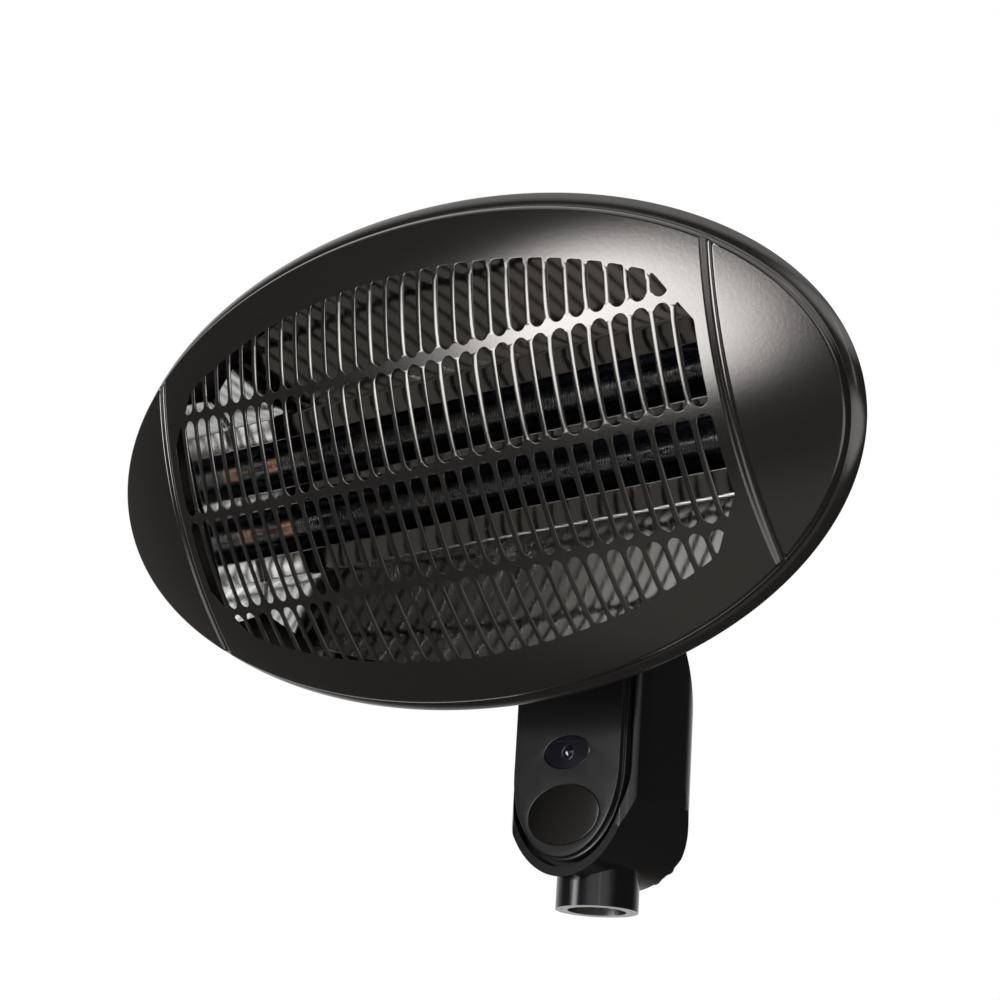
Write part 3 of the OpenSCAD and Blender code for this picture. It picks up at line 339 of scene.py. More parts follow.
@dataclass(frozen=True)
class Glass(Finish):
    """Fused quartz: clear, with drawn lines and a slight haze."""

    ior: float = 1.458

    def dress(self, graph: Graph, inputs: bpy.types.NodeInputs) -> None:
        """Haze in patches and fine lines along the tube."""
        inputs["Transmission Weight"].default_value = 1.0
        inputs["IOR"].default_value = self.ior
        haze = graph.noise(30.0, 3.0)
        lines = graph.noise(1.0, 1.0, graph.coords((6.0, 500.0, 500.0)))
        graph.feed(inputs["Roughness"], self.roughness + haze.step(0.45, 0.8, 0.0, 0.12))
        graph.feed(inputs["Normal"], graph.bump(lines, 0.00002))


@dataclass(frozen=True)
class ScorchedWire(Finish):
    """Resistance wire with a grey-brown oxide skin that heat has tinted in bands."""

    def dress(self, graph: Graph, inputs: bpy.types.NodeInputs) -> None:
        """Heat tint in slow bands along the length, with specks of scale."""
        band = graph.noise(1.0, 2.0, graph.coords((34.0, 8.0, 8.0)))
        speck = graph.noise(1800.0, 2.0)
        tint = graph.mix(band.step(0.35, 0.65), self.colour, (0.075, 0.055, 0.045))
        graph.feed(inputs["Base Color"], graph.mix(speck.step(0.4, 0.7), tint, (0.035, 0.033, 0.032)))
        graph.feed(inputs["Roughness"], self.roughness + (speck - 0.5) * 0.3)


BRONZE = FlakePaint("Bronze metallic enamel", "bronze_paint", (0.117, 0.112, 0.108), 0.9, 0.15)
SHELL = FlakePaint("Dark shell enamel", "shell_paint", (0.090, 0.082, 0.078), 0.55, 0.42, 0.25)
MIRROR = PolishedSheet("Polished aluminium", "mirror_sheet", (0.86, 0.86, 0.85), 1.0, 0.07)
END_MIRROR = PolishedSheet("Polished end sheet", "mirror_sheet",
                           (0.86, 0.86, 0.85), 1.0, 0.09, wave=0.00015)
STEEL = PlainMetal("Zinc-plated steel", "bare_steel", (0.58, 0.57, 0.55), 1.0, 0.34)
BRACKET = FlakePaint("Black bracket enamel", "bracket_paint", (0.055, 0.053, 0.052), 0.3, 0.45, 0.2)
QUARTZ = Glass("Fused quartz", "quartz", (0.94, 0.96, 0.98), 0.0, 0.03)
WIRE = ScorchedWire("Scorched heating wire", "heater_wire", (0.05, 0.048, 0.05), 0.8, 0.5)
COPPER = PlainMetal("Heat-stained copper", "copper", (0.72, 0.34, 0.17), 1.0, 0.38)
CERAMIC = Moulding("Glazed steatite", "ceramic", (0.72, 0.70, 0.64), 0.0, 0.42, 600.0, 0.00002, 0.1)
SLEEVING = Moulding("Glass-fibre sleeving", "lead_sleeve",
                    (0.60, 0.57, 0.49), 0.0, 0.75, 1600.0, 0.00012, 0.18)
RUBBER = Moulding("Black rubber", "black_rubber", (0.020, 0.020, 0.021), 0.0, 0.55, 800.0, 0.00003, 0.2)
GLOSS = Moulding("Gloss black moulding", "neck_plastic",
                 (0.0095, 0.0095, 0.010), 0.0, 0.14, 420.0, 0.000003, 0.2, 0.05)
PANEL = Moulding("Satin black panel", "panel_plastic",
                 (0.012, 0.012, 0.0135), 0.0, 0.19, 520.0, 0.000004, 0.2, 0.04)
LENS = Moulding("Smoked lens", "lens_plastic",
                (0.006, 0.007, 0.013), 0.0, 0.05, 200.0, 0.000001, 0.3, 0.04, 1.0)
BADGE = Moulding("Gloss black badge", "badge_black",
                 (0.004, 0.004, 0.004), 0.0, 0.09, 300.0, 0.000002, 0.3, 0.05, 1.0)
KNOB = Moulding("Grained black nylon", "knob_plastic",
                (0.022, 0.022, 0.023), 0.0, 0.48, 1400.0, 0.00004, 0.2)
NYLON = Moulding("Natural nylon", "nylon", (0.68, 0.65, 0.57), 0.0, 0.5, 700.0, 0.00001, 0.08)
BOARD = Moulding("Green circuit board", "board_green",
                 (0.022, 0.11, 0.045), 0.0, 0.35, 240.0, 0.00002, 0.35)
RELAY = Moulding("Blue relay case", "relay_blue", (0.03, 0.12, 0.38), 0.0, 0.4, 700.0, 0.00001, 0.12)
TERMINAL = Moulding("Green terminal block", "terminal_green",
                    (0.04, 0.26, 0.10), 0.0, 0.45, 700.0, 0.00001, 0.12)


# ---------------------------------------------------------------- meshes


def linked(name: str, data: bpy.types.ID) -> bpy.types.Object:
    """Puts an object with this data into the scene."""
    made = bpy.data.objects.new(name, data)
    bpy.context.scene.collection.objects.link(made)
    return made


def baked(on: bpy.types.Object) -> bpy.types.Mesh:
    """The object's mesh as its modifiers make it; they are then taken off."""
    graph = bpy.context.evaluated_depsgraph_get()
    result = bpy.data.meshes.new_from_object(on.evaluated_get(graph), preserve_all_data_layers=True,
                                             depsgraph=graph)
    on.modifiers.clear()
    return result


def thicken(on: bpy.types.Object, sheet: float) -> None:
    """Gives a skin the thickness of a sheet in millimetres, on its inner side."""
    wall = on.modifiers.new("Sheet", "SOLIDIFY")
    wall.thickness, wall.offset = sheet * MM, -1.0


def mesh_piece(name: str, points: Sequence[Sequence[float]], faces: Sequence[Sequence[int]], finish: Finish,
               body: Body | None = None, smooth: float = 35.0, recalc: bool = False) -> bpy.types.Object:
    """Makes a mesh object with its place in its mesh.

    Args:
        name: The piece's name.
        points: Its vertices, in the body's drawing axes in millimetres, or in metres without a body.
        faces: Its faces, turned outwards.
        finish: Its finish.
        body: The body whose axes the points are in.
        smooth: Edges sharper than this many degrees stay sharp.
        recalc: Whether its normals are worked out again.

    Returns:
        The object, linked to the scene, riding on nothing yet.
    """
    mesh = bpy.data.meshes.new(name)
    mesh.from_pydata([tuple(p) for p in points], [], [tuple(f) for f in faces])
    if recalc:
        work = bmesh.new()
        work.from_mesh(mesh)
        bmesh.ops.remove_doubles(work, verts=work.verts, dist=1e-4)
        bmesh.ops.recalc_face_normals(work, faces=work.faces)
        work.to_mesh(mesh)
        work.free()
    if body is not None:
        mesh.transform(body.axes)
    mesh.polygons.foreach_set("use_smooth", [True] * len(mesh.polygons))
    mesh.set_sharp_from_angle(angle=math.radians(smooth))
    mesh.materials.append(finish.material())
    mesh.update()
    return linked(name, mesh)


def settle(made: bpy.types.Object, finish: Finish, body: Body, *nodes: str) -> bpy.types.Object:
    """Rides a finished piece on its body, hides the CAD nodes it stands for and logs them."""
    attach(made, body.value)
    if nodes:
        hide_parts(*nodes)
    log.info("%s: %d faces, on %s, for %s", made.name, len(made.data.polygons), body.value,
             ", ".join(nodes) or "-")
    return made


def loft(rings: Sequence[Sequence[Point]], closed: bool = True,
         caps: tuple[bool, bool] = (False, False)) -> Skin:
    """Joins rings of equal length into one skin.

    Args:
        rings: The rings, in order.
        closed: Whether each ring closes on itself.
        caps: Whether the first and the last ring are filled.

    Returns:
        Points and faces.
    """
    count = len(rings[0])
    points = [p for ring in rings for p in ring]
    faces: Faces = []
    for r in range(len(rings) - 1):
        for k in range(count if closed else count - 1):
            a, b = r * count + k, r * count + (k + 1) % count
            faces.append((a, b, b + count, a + count))
    if caps[0]:
        faces.append(tuple(range(count - 1, -1, -1)))
    if caps[1]:
        faces.append(tuple(range((len(rings) - 1) * count, len(rings) * count)))
    return points, faces


def turned(profile: Sequence[Flat], axis: str, centre: Point, around: int = 48,
           shape: Callable[[float, float, float], float] | None = None) -> Skin:
    """Turns a profile round an axis.

    Args:
        profile: Places along the axis and radii, in order.
        axis: "X", "Y" or "Z".
        centre: A point of the axis, from which places are counted.
        around: Number of points round it.
        shape: Gives the radius from place, radius and angle, for lobes and flutes.

    Returns:
        Points and faces, closed where the profile starts or ends at radius 0.
    """
    rings = []
    for place, radius in profile:
        ring = []
        for k in range(around):
            angle = math.tau * k / around
            r = shape(place, radius, angle) if shape else radius
            u, v = max(r, 1e-3) * math.cos(angle), max(r, 1e-3) * math.sin(angle)
            p = {"X": (place, u, v), "Y": (v, place, u), "Z": (u, v, place)}[axis]
            ring.append((p[0] + centre[0], p[1] + centre[1], p[2] + centre[2]))
        rings.append(ring)
    return loft(rings, True, (profile[0][1] == 0, profile[-1][1] == 0))


def joined(*parts: Skin) -> Skin:
    """Puts several skins into one list of points and faces."""
    points: list[Point] = []
    faces: Faces = []
    for some, sides in parts:
        base = len(points)
        points += some
        faces += [tuple(i + base for i in f) for f in sides]
    return points, faces


def eased(node: str, name: str, finish: Finish, body: Body, width: float) -> bpy.types.Object:
    """Copies a CAD solid, merges its triangles and eases its edges.

    Args:
        node: The CAD node.
        name: The piece's name.
        finish: Its finish.
        body: The body it rides on.
        width: Width of the eased edge, in millimetres.

    Returns:
        The piece.
    """
    work = bmesh.new()
    work.from_mesh(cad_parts[node].data)
    bmesh.ops.remove_doubles(work, verts=work.verts, dist=2e-6)
    bmesh.ops.dissolve_limit(work, angle_limit=math.radians(0.6), verts=work.verts, edges=work.edges)
    sharp = [e for e in work.edges if e.is_manifold and e.calc_face_angle(0.0) > EASED_FROM]
    if width and sharp:
        bmesh.ops.bevel(work, geom=sharp, offset=width * MM, offset_type="OFFSET", segments=2,
                        profile=0.5, affect="EDGES", clamp_overlap=True)
    bmesh.ops.triangulate(work, faces=[f for f in work.faces if len(f.verts) > 4])
    mesh = bpy.data.meshes.new(name)
    work.to_mesh(mesh)
    work.free()
    mesh.polygons.foreach_set("use_smooth", [True] * len(mesh.polygons))
    mesh.set_sharp_from_angle(angle=SHARP_FROM)
    mesh.materials.append(finish.material())
    made = linked(name, mesh)
    made.modifiers.new("Even shading", "WEIGHTED_NORMAL").keep_sharp = True
    return settle(made, finish, body, node)


class Tool:
    """A Geometry Nodes tree with named number inputs, run once on an object and taken off again."""

    def __init__(self, name: str, inputs: Sequence[str]) -> None:
        """Makes an empty tree.

        Args:
            name: The tree's name.
            inputs: Names of its numbers.
        """
        self.tree = bpy.data.node_groups.new(name, "GeometryNodeTree")
        self.tree.interface.new_socket("Geometry", in_out="INPUT", socket_type="NodeSocketGeometry")
        self.keys = {}
        for label in inputs:
            made = self.tree.interface.new_socket(label, in_out="INPUT", socket_type="NodeSocketFloat")
            self.keys[label] = made.identifier
        self.tree.interface.new_socket("Geometry", in_out="OUTPUT", socket_type="NodeSocketGeometry")
        self.graph = Graph(self.tree)
        self.start = self.graph.add("NodeGroupInput")

    def value(self, label: str) -> Num:
        """The named input as a number."""
        return Num(self.graph, self.start.outputs[label])

    def finish(self, geometry: bpy.types.NodeSocket, material: bpy.types.Material) -> None:
        """Ends the tree in Realize Instances and Set Material."""
        real = self.graph.add("GeometryNodeRealizeInstances", {0: geometry}).outputs[0]
        dressed = self.graph.add("GeometryNodeSetMaterial", {"Geometry": real, "Material": material}).outputs[0]
        self.graph.add("NodeGroupOutput", {0: dressed})

    def run(self, on: bpy.types.Object, values: dict[str, float]) -> bpy.types.Object:
        """Runs the tree on an object and keeps the result as its plain mesh.

        Args:
            on: The object.
            values: The named inputs.

        Returns:
            The same object with its new mesh.
        """
        step = on.modifiers.new(self.tree.name, "NODES")
        step.node_group = self.tree
        for label, value in values.items():
            step[self.keys[label]] = float(value)
        result = baked(on)
        old, on.data = on.data, result
        result.name = on.name
        bpy.data.meshes.remove(old)
        return on


# ---------------------------------------------------------------- face


def clipped(shape: list[Flat], a: float, b: float, c: float) -> list[Flat]:
    """The part of a convex outline where a*x + b*z <= c."""
    kept: list[Flat] = []
    for (x0, z0), (x1, z1) in zip(shape, shape[1:] + shape[:1]):
        d0, d1 = a * x0 + b * z0 - c, a * x1 + b * z1 - c
        if d0 <= 0:
            kept.append((x0, z0))
        if d0 * d1 < 0:
            t = d0 / (d0 - d1)
            kept.append((x0 + t * (x1 - x0), z0 + t * (z1 - z0)))
    return kept


def tidy_outline(shape: list[Flat], least: float) -> list[Flat]:
    """Drops points that lie closer than least to the one before."""
    kept: list[Flat] = []
    for p in shape:
        if not kept or math.dist(p, kept[-1]) > least:
            kept.append(p)
    if len(kept) > 2 and math.dist(kept[0], kept[-1]) <= least:
        kept.pop()
    return kept


def rounded_corners(shape: list[Flat], radius: float) -> list[Flat]:
    """Rounds the corners of a convex outline that turn by more than 20 degrees."""
    result: list[Flat] = []
    count = len(shape)
    for i in range(count):
        before, here, after = (Vector(shape[(i + k) % count]) for k in (-1, 0, 1))
        into, out = here - before, after - here
        turn = into.angle(out) if into.length > 1e-6 and out.length > 1e-6 else 0.0
        if turn < math.radians(20):
            result.append(tuple(here))
            continue
        reach = min(radius * math.tan(turn / 2), 0.46 * into.length, 0.46 * out.length)
        start, end = here - into.normalized() * reach, here + out.normalized() * reach
        for k in range(6):
            t = k / 5
            result.append(tuple(start * (1 - t) ** 2 + here * 2 * t * (1 - t) + end * t ** 2))
    return result


def subdivided(shape: list[Flat], longest: float) -> list[Flat]:
    """Splits the long edges of a closed outline."""
    result: list[Flat] = []
    for p, q in zip(shape, shape[1:] + shape[:1]):
        parts = max(1, math.ceil(math.dist(p, q) / longest))
        result += [(p[0] + (q[0] - p[0]) * k / parts, p[1] + (q[1] - p[1]) * k / parts) for k in range(parts)]
    return result


def grown(shape: list[Flat], by: float) -> list[Flat]:
    """Moves a closed outline outwards, corner by corner."""
    result: list[Flat] = []
    count = len(shape)
    for i in range(count):
        (ax, az), (bx, bz), (cx, cz) = shape[i - 1], shape[i], shape[(i + 1) % count]
        first, second = Vector((bz - az, ax - bx)).normalized(), Vector((cz - bz, bx - cx)).normalized()
        middle = first + second
        scale = 2 / max(middle.length_squared, 0.8)
        result.append((bx + middle.x * by * scale, bz + middle.y * by * scale))
    return result


@dataclass
class DomedFace:
    """Pressed steel face: dome with slots in four rows, two grooves, and a skirt rolled back round it."""

    half_w: float = 230.0
    half_h: float = 116.0
    rise: float = 29.0
    sheet: float = 1.0
    groove_x: float = 176.0
    groove_w: float = 5.0
    groove_d: float = 1.5
    groove_side: Flat = (0.56, 0.16)
    groove_end: Flat = (0.975, 0.958)
    columns: int = 32
    pitch: float = 10.53
    slot_w: float = 7.6
    slot_h: float = 46.8
    row_step: float = 50.0
    field_w: float = 207.0
    field_h: float = 90.5
    corner: Flat = (151.0, 60.5)
    corner_slope: float = 1.4
    lip: float = 0.3
    twist: float = math.tan(math.radians(5.5))
    around: int = 360
    edge_in: float = 4.6
    shoulder: tuple[Flat, ...] = ((-4.25, 0.02), (-3.95, 0.08), (-3.68, 0.2), (-3.44, 0.4), (-3.24, 0.7),
                                  (-3.1, 1.1), (-3.0, 1.6), (-2.95, 2.1))
    crease: Flat = (-2.85, 2.75)
    band_start: Flat = (-2.65, 2.95)
    band_end: Flat = (2.4, 7.0)
    band_bulge: float = 0.55

    def field_top(self, x: float) -> float:
        """Half height of the slotted field at x."""
        curve = self.field_h * math.sqrt(max(0.0, 1 - (x / self.field_w) ** 2))
        return min(curve, self.corner[1] + self.corner_slope * (self.corner[0] - abs(x)))

    def slot(self, x: float, z: float) -> list[Flat]:
        """Outline of one slot, trimmed by the field."""
        half, straight = self.slot_w / 2, (self.slot_h - self.slot_w) / 2
        shape = [(x + half * math.cos(a), z + straight + half * math.sin(a))
                 for a in (math.pi * k / 10 for k in range(11))]
        shape += [(x + half * math.cos(a), z - straight + half * math.sin(a))
                  for a in (math.pi + math.pi * k / 10 for k in range(11))]
        side, ends = (1 if z > 0 else -1), [x - half, x + half]
        for kink in (self.corner[0] + 0.8, -self.corner[0] - 0.8):
            if ends[0] < kink < ends[-1]:
                ends.insert(1, kink)
        for a, b in zip(ends, ends[1:]):
            ta, tb = self.field_top(a), self.field_top(b)
            slope = (tb - ta) / (b - a)
            shape = clipped(shape, -slope, side, ta - slope * a)
        shape = tidy_outline(shape, 0.12)
        if len(shape) < 3:
            return []
        area = abs(sum(p[0] * q[1] - q[0] * p[1] for p, q in zip(shape, shape[1:] + shape[:1]))) / 2
        if area < 22:
            return []
        return subdivided(tidy_outline(rounded_corners(shape, 1.7), 0.1), 4.4)

    def twist_at(self, x: float, z: float) -> float:
        """How far a bar's edge stands forward: each second bar is turned a little."""
        k = round(x / self.pitch)
        off = x - k * self.pitch
        rows = abs((abs(z) % self.row_step) - self.row_step / 2) / (self.row_step / 2)
        fade = min(1.0, max(0.0, (0.9 - rows) / 0.3)) if abs(z) < self.field_top(x) - 2 else 0.0
        if abs(off) > 1.6 or abs(k) > self.columns / 2 - 1:
            return 0.0
        return off * self.twist * (1 if k % 2 else -0.45) * fade

    def rim(self) -> list[tuple[float, float, float]]:
        """Rows round the face: how far out each lies, its depth, and 1 where the depth counts from the dome."""
        rows = [(out, drop, 1.0) for out, drop in self.shoulder]
        rows.append((*self.crease, 0.0))
        (a, c), (b, d) = self.band_start, self.band_end
        long = math.hypot(b - a, d - c)
        for t in (0.0, 0.06, 0.14, 0.24, 0.36, 0.48, 0.6, 0.72, 0.84, 0.94, 1.0):
            bulge = self.band_bulge * (1 - (2 * t - 1) ** 2)
            rows.append((a + (b - a) * t + bulge * (d - c) / long,
                         c + (d - c) * t - bulge * (b - a) / long, 0.0))
        return rows

    def ring_angles(self) -> list[float]:
        """Angles of the points round the rim, closer together where the grooves run out over it."""
        cross = math.acos(self.groove_x / self.half_w)
        steps = [math.tau * k / self.around for k in range(self.around)]
        steps += [base + turn * cross + off * 0.0035 for base in (0.0, math.pi) for turn in (-1, 1)
                  for off in range(-11, 12)]
        steps = sorted(t % math.tau for t in steps)
        return [t for i, t in enumerate(steps) if t - steps[i - 1] > 0.0012 or i == 0]

    def flat_sheet(self) -> tuple[list[Flat], list[tuple[int, int, int]], list[float]]:
        """Cuts the flat blank.

        Returns:
            Its points, its triangles and how far each point drops into a slot's lip.
        """
        points: list[Flat] = []
        drops: list[float] = []
        edges: list[tuple[int, int]] = []
        holes: list[int] = []

        def chain(shape: Sequence[Flat], drop: float, closed: bool, hole: int = -1) -> None:
            """Adds a line of points and its edges."""
            base, count = len(points), len(shape)
            points.extend(shape)
            drops.extend([drop] * count)
            holes.extend([hole] * count)
            edges.extend((base + k, base + (k + 1) % count) for k in range(count if closed else count - 1))

        a, b = self.half_w - self.edge_in, self.half_h - self.edge_in
        self.angles = self.ring_angles()
        chain([(a * math.cos(t), b * math.sin(t)) for t in self.angles], 0.0, True)
        number = 0
        for column in range(self.columns):
            x = (column - (self.columns - 1) / 2) * self.pitch
            for row in (-1.5, -0.5, 0.5, 1.5):
                shape = self.slot(x, row * self.row_step)
                if not shape:
                    continue
                chain(shape, self.lip, True, number)
                chain(grown(shape, self.lip * 0.3), self.lip * 0.28, True)
                chain(grown(shape, self.lip * 1.1), 0.0, True)
                number += 1
        for side in (-1, 1):
            for off in (-3.4, -2.7, -2.1, -1.5, -0.9, 0.0, 0.9, 1.5, 2.1, 2.7, 3.4):
                x = side * (self.groove_x + off)
                top = b * math.sqrt(1 - (x / a) ** 2) - 0.7
                steps = round(2 * top / 3.5)
                chain([(x, -top + 2 * top * k / steps) for k in range(steps + 1)], 0.0, False)
        step = 6.5
        for row in range(-20, 21):
            z = row * step * 0.87
            for col in range(-38, 39):
                x = (col + 0.5 * (row % 2)) * step
                if (x / (a - 3)) ** 2 + (z / (b - 3)) ** 2 > 1 or abs(abs(x) - self.groove_x) < 5:
                    continue
                if abs(x) < 170 and abs(z) < self.field_top(min(abs(x), 167)) + 2.2:
                    continue
                chain([(x, z)], 0.0, False)
        result = delaunay_2d_cdt([Vector(p) for p in points], edges, [], 0, 1e-5, True)
        source = [ids[0] if ids else -1 for ids in result[3]]
        flat = [tuple(p) for p in result[0]]
        triangles = []
        for tri in result[2]:
            marks = {holes[source[i]] if source[i] >= 0 else -1 for i in tri}
            if len(marks) == 1 and -1 not in marks:
                continue
            (ax, az), (bx, bz), (cx, cz) = (flat[i] for i in tri)
            if (bx - ax) * (cz - az) - (cx - ax) * (bz - az) < 0:
                tri = tri[::-1]
            triangles.append(tuple(tri))
        fall = [drops[s] if s >= 0 else 0.0 for s in source]
        self.border = [-1] * len(self.angles)
        for i, s in enumerate(source):
            if 0 <= s < len(self.angles):
                self.border[s] = i
        return flat, triangles, fall

    def press(self) -> Tool:
        """Tree that presses the flat blank to the dome and its grooves."""
        tool = Tool("Press the dome", ("Half Width", "Half Height", "Rise", "Groove Place", "Groove Width",
                                       "Groove Depth"))
        g = tool.graph
        place = g.add("ShaderNodeSeparateXYZ", {0: g.add("GeometryNodeInputPosition").outputs[0]})
        x, y, z = (Num(g, place.outputs[k]) for k in range(3))
        w, h, rise = tool.value("Half Width"), tool.value("Half Height"), tool.value("Rise")
        across = (w * w + rise * rise) / (rise * 2.0)
        upward = (h * h + rise * rise) / (rise * 2.0)
        reach = across - upward + (upward * upward - z * z).root()
        dome = across - rise - (reach * reach - x * x).root()
        off = abs(abs(x) - tool.value("Groove Place")) / tool.value("Groove Width")
        end = (x / w) * (x / w) + (z / h) * (z / h)
        groove = off.step(*self.groove_side) * tool.value("Groove Depth") * end.step(*self.groove_end)
        read = {label: Num(g, g.add("GeometryNodeInputNamedAttribute", {"Name": label},
                                    {"data_type": "FLOAT"}).outputs[0]) for label in ("panel", "drop", "twist")}
        level = y + read["panel"] * (dome + groove + read["drop"] + read["twist"])
        target = g.add("ShaderNodeCombineXYZ", {0: x, 1: level, 2: z}).outputs[0]
        moved = g.add("GeometryNodeSetPosition", {"Geometry": tool.start.outputs[0], "Position": target})
        tool.finish(moved.outputs[0], BRONZE.material())
        return tool

    def build(self) -> bpy.types.Object:
        """Cuts, presses and rolls the face.

        Returns:
            The face, riding on the head.
        """
        flat, faces, fall = self.flat_sheet()
        points: list[Point] = [(x, 0.0, z) for x, z in flat]
        panel = [1.0] * len(points)
        twist = [self.twist_at(x, z) for x, z in flat]
        ring, count = self.border, len(self.angles)
        for out, depth, on_dome in self.rim():
            base = len(points)
            w, h = self.half_w + out, self.half_h + out
            panel += [on_dome] * count
            points += [(w * math.cos(t), depth, h * math.sin(t)) for t in self.angles]
            row = list(range(base, base + count))
            faces += [(ring[k], row[k], row[(k + 1) % count], ring[(k + 1) % count]) for k in range(count)]
            ring = row
        extra = len(points) - len(twist)
        twist += [0.0] * extra
        fall = fall + [0.0] * extra
        face = mesh_piece("slotted_face_pressing", points, faces, BRONZE, None, 50.0)
        for label, values in (("panel", panel), ("drop", fall), ("twist", twist)):
            face.data.attributes.new(label, "FLOAT", "POINT").data.foreach_set("value", values)
        self.press().run(face, {"Half Width": self.half_w, "Half Height": self.half_h, "Rise": self.rise,
                                "Groove Place": self.groove_x, "Groove Width": self.groove_w,
                                "Groove Depth": self.groove_d})
        for label in ("panel", "drop", "twist"):
            spare = face.data.attributes.get(label)
            if spare:
                face.data.attributes.remove(spare)
        face.data.transform(Body.HEAD.axes)
        face.data.polygons.foreach_set("use_smooth", [True] * len(face.data.polygons))
        thicken(face, self.sheet)
        face.data = baked(face)
        self.even_shading(face.data)
        return settle(face, BRONZE, Body.HEAD, "slotted_face_grille")

    def even_shading(self, mesh: bpy.types.Mesh) -> None:
        """Gives the plain stretches of the dome its own normals, so that highlights run smooth."""
        across = (self.half_w ** 2 + self.rise ** 2) / (2 * self.rise)
        upward = (self.half_h ** 2 + self.rise ** 2) / (2 * self.rise)
        back, turn = Body.HEAD.axes.inverted(), Body.HEAD.axes.to_3x3().normalized()
        mesh.set_sharp_from_angle(angle=math.radians(50))
        plain: dict[int, Vector] = {}
        for vertex in mesh.vertices:
            p = back @ vertex.co
            tube = math.sqrt(upward ** 2 - p.z ** 2)
            reach = across - upward + tube
            depth = math.sqrt(max(reach ** 2 - p.x ** 2, 1.0))
            if abs(across - self.rise - depth - p.y) < 0.004:
                plain[vertex.index] = (turn @ Vector((p.x, -depth, p.z * reach / tube))).normalized()
        normals = [Vector(c.vector) for c in mesh.corner_normals]
        for face in mesh.polygons:
            for corner in face.loop_indices:
                exact = plain.get(mesh.loops[corner].vertex_index)
                if exact is not None and normals[corner].dot(exact) > 0.8:
                    normals[corner] = exact
        mesh.normals_split_custom_set(normals)


# ---------------------------------------------------------------- inside the head


@dataclass
class Reflector:
    """Polished sheet with two troughs, a ridge, lands and slopes, trimmed to an oval, and its two ends."""

    half_l: float = 172.0
    sheet: float = 0.8
    land_y: float = 32.0
    trough_r: float = 12.0
    trough_z: float = 16.6
    trough_bottom: float = 66.0
    slope_z0: float = 40.4
    slope_z1: float = 98.0
    slope_rise: float = 24.0
    plan: Flat = (212.0, 97.0)
    bend: float = 0.45
    across: int = 90

    def section(self) -> list[Flat]:
        """Half of the sheet's front line in Y and Z, from the outer edge to the middle."""
        rim_y = self.land_y - self.slope_rise
        top = self.plan[1] - 0.25
        slope = self.slope_rise / (self.slope_z1 - self.slope_z0)
        corners = [(rim_y + (self.slope_z1 - top) * slope, top), (self.land_y, self.slope_z0),
                   (self.land_y, self.trough_z + self.trough_r)]
        line: list[Flat] = []
        for k in range(15):
            t = k / 14
            line.append((corners[0][0] + (corners[1][0] - corners[0][0]) * t * 0.975,
                         corners[0][1] + (corners[1][1] - corners[0][1]) * t * 0.975))
        line += [(self.land_y - 0.12, self.slope_z0 + 0.5), (self.land_y, self.slope_z0 - 0.7)]
        outer, inner = self.trough_z + self.trough_r, self.trough_z - self.trough_r
        line += [(self.land_y, self.slope_z0 - 5), (self.land_y, outer + self.bend)]
        line += [(self.land_y + self.bend * (1 - math.cos(a)), outer + self.bend * (1 - math.sin(a)))
                 for a in (math.radians(d) for d in (22, 45, 68, 90))]
        deep = self.trough_bottom - self.trough_r
        line += [(self.land_y + 8, outer), (deep - 6, outer), (deep, outer)]
        line += [(deep + self.trough_r * math.sin(a), self.trough_z + self.trough_r * math.cos(a))
                 for a in (math.pi * k / 28 for k in range(1, 28))]
        line += [(deep, inner), (deep - 6, inner), (self.land_y + 8, inner)]
        line += [(self.land_y + self.bend * (1 - math.cos(a)), inner - self.bend * (1 - math.sin(a)))
                 for a in (math.radians(d) for d in (90, 68, 45, 22))]
        line += [(self.land_y, inner - self.bend)]
        return line

    def build(self) -> list[bpy.types.Object]:
        """Makes the sheet and its ends.

        Returns:
            The three pieces.
        """
        half = self.section()
        line = half + [(y, -z) for y, z in reversed(half)]
        rings = []
        for y, z in line:
            reach = min(self.half_l, self.plan[0] * math.sqrt(max(0.0, 1 - (z / self.plan[1]) ** 2)))
            rings.append([(reach * (2 * k / self.across - 1), y, z) for k in range(self.across + 1)])
        points, faces = loft(rings, False)
        sheet = mesh_piece("reflector_sheet", points, [f[::-1] for f in faces], MIRROR, Body.HEAD, 40.0)
        # Painted shade: "deep" rises from 0 at the lands to 1 in the troughs, where the finish paints the sheet
        # darker and bluish.
        sheet.data.attributes.new("deep", "FLOAT", "POINT").data.foreach_set(
            "value", [min(1.0, max(0.0, (y - self.land_y - 0.5) / 6.0)) for _, y, _ in points])
        thicken(sheet, self.sheet)
        return [settle(sheet, MIRROR, Body.HEAD, "reflector"),
                eased("left_reflector_end", "left_end_plate", END_MIRROR, Body.HEAD, 0.2),
                eased("right_reflector_end", "right_end_plate", END_MIRROR, Body.HEAD, 0.2)]


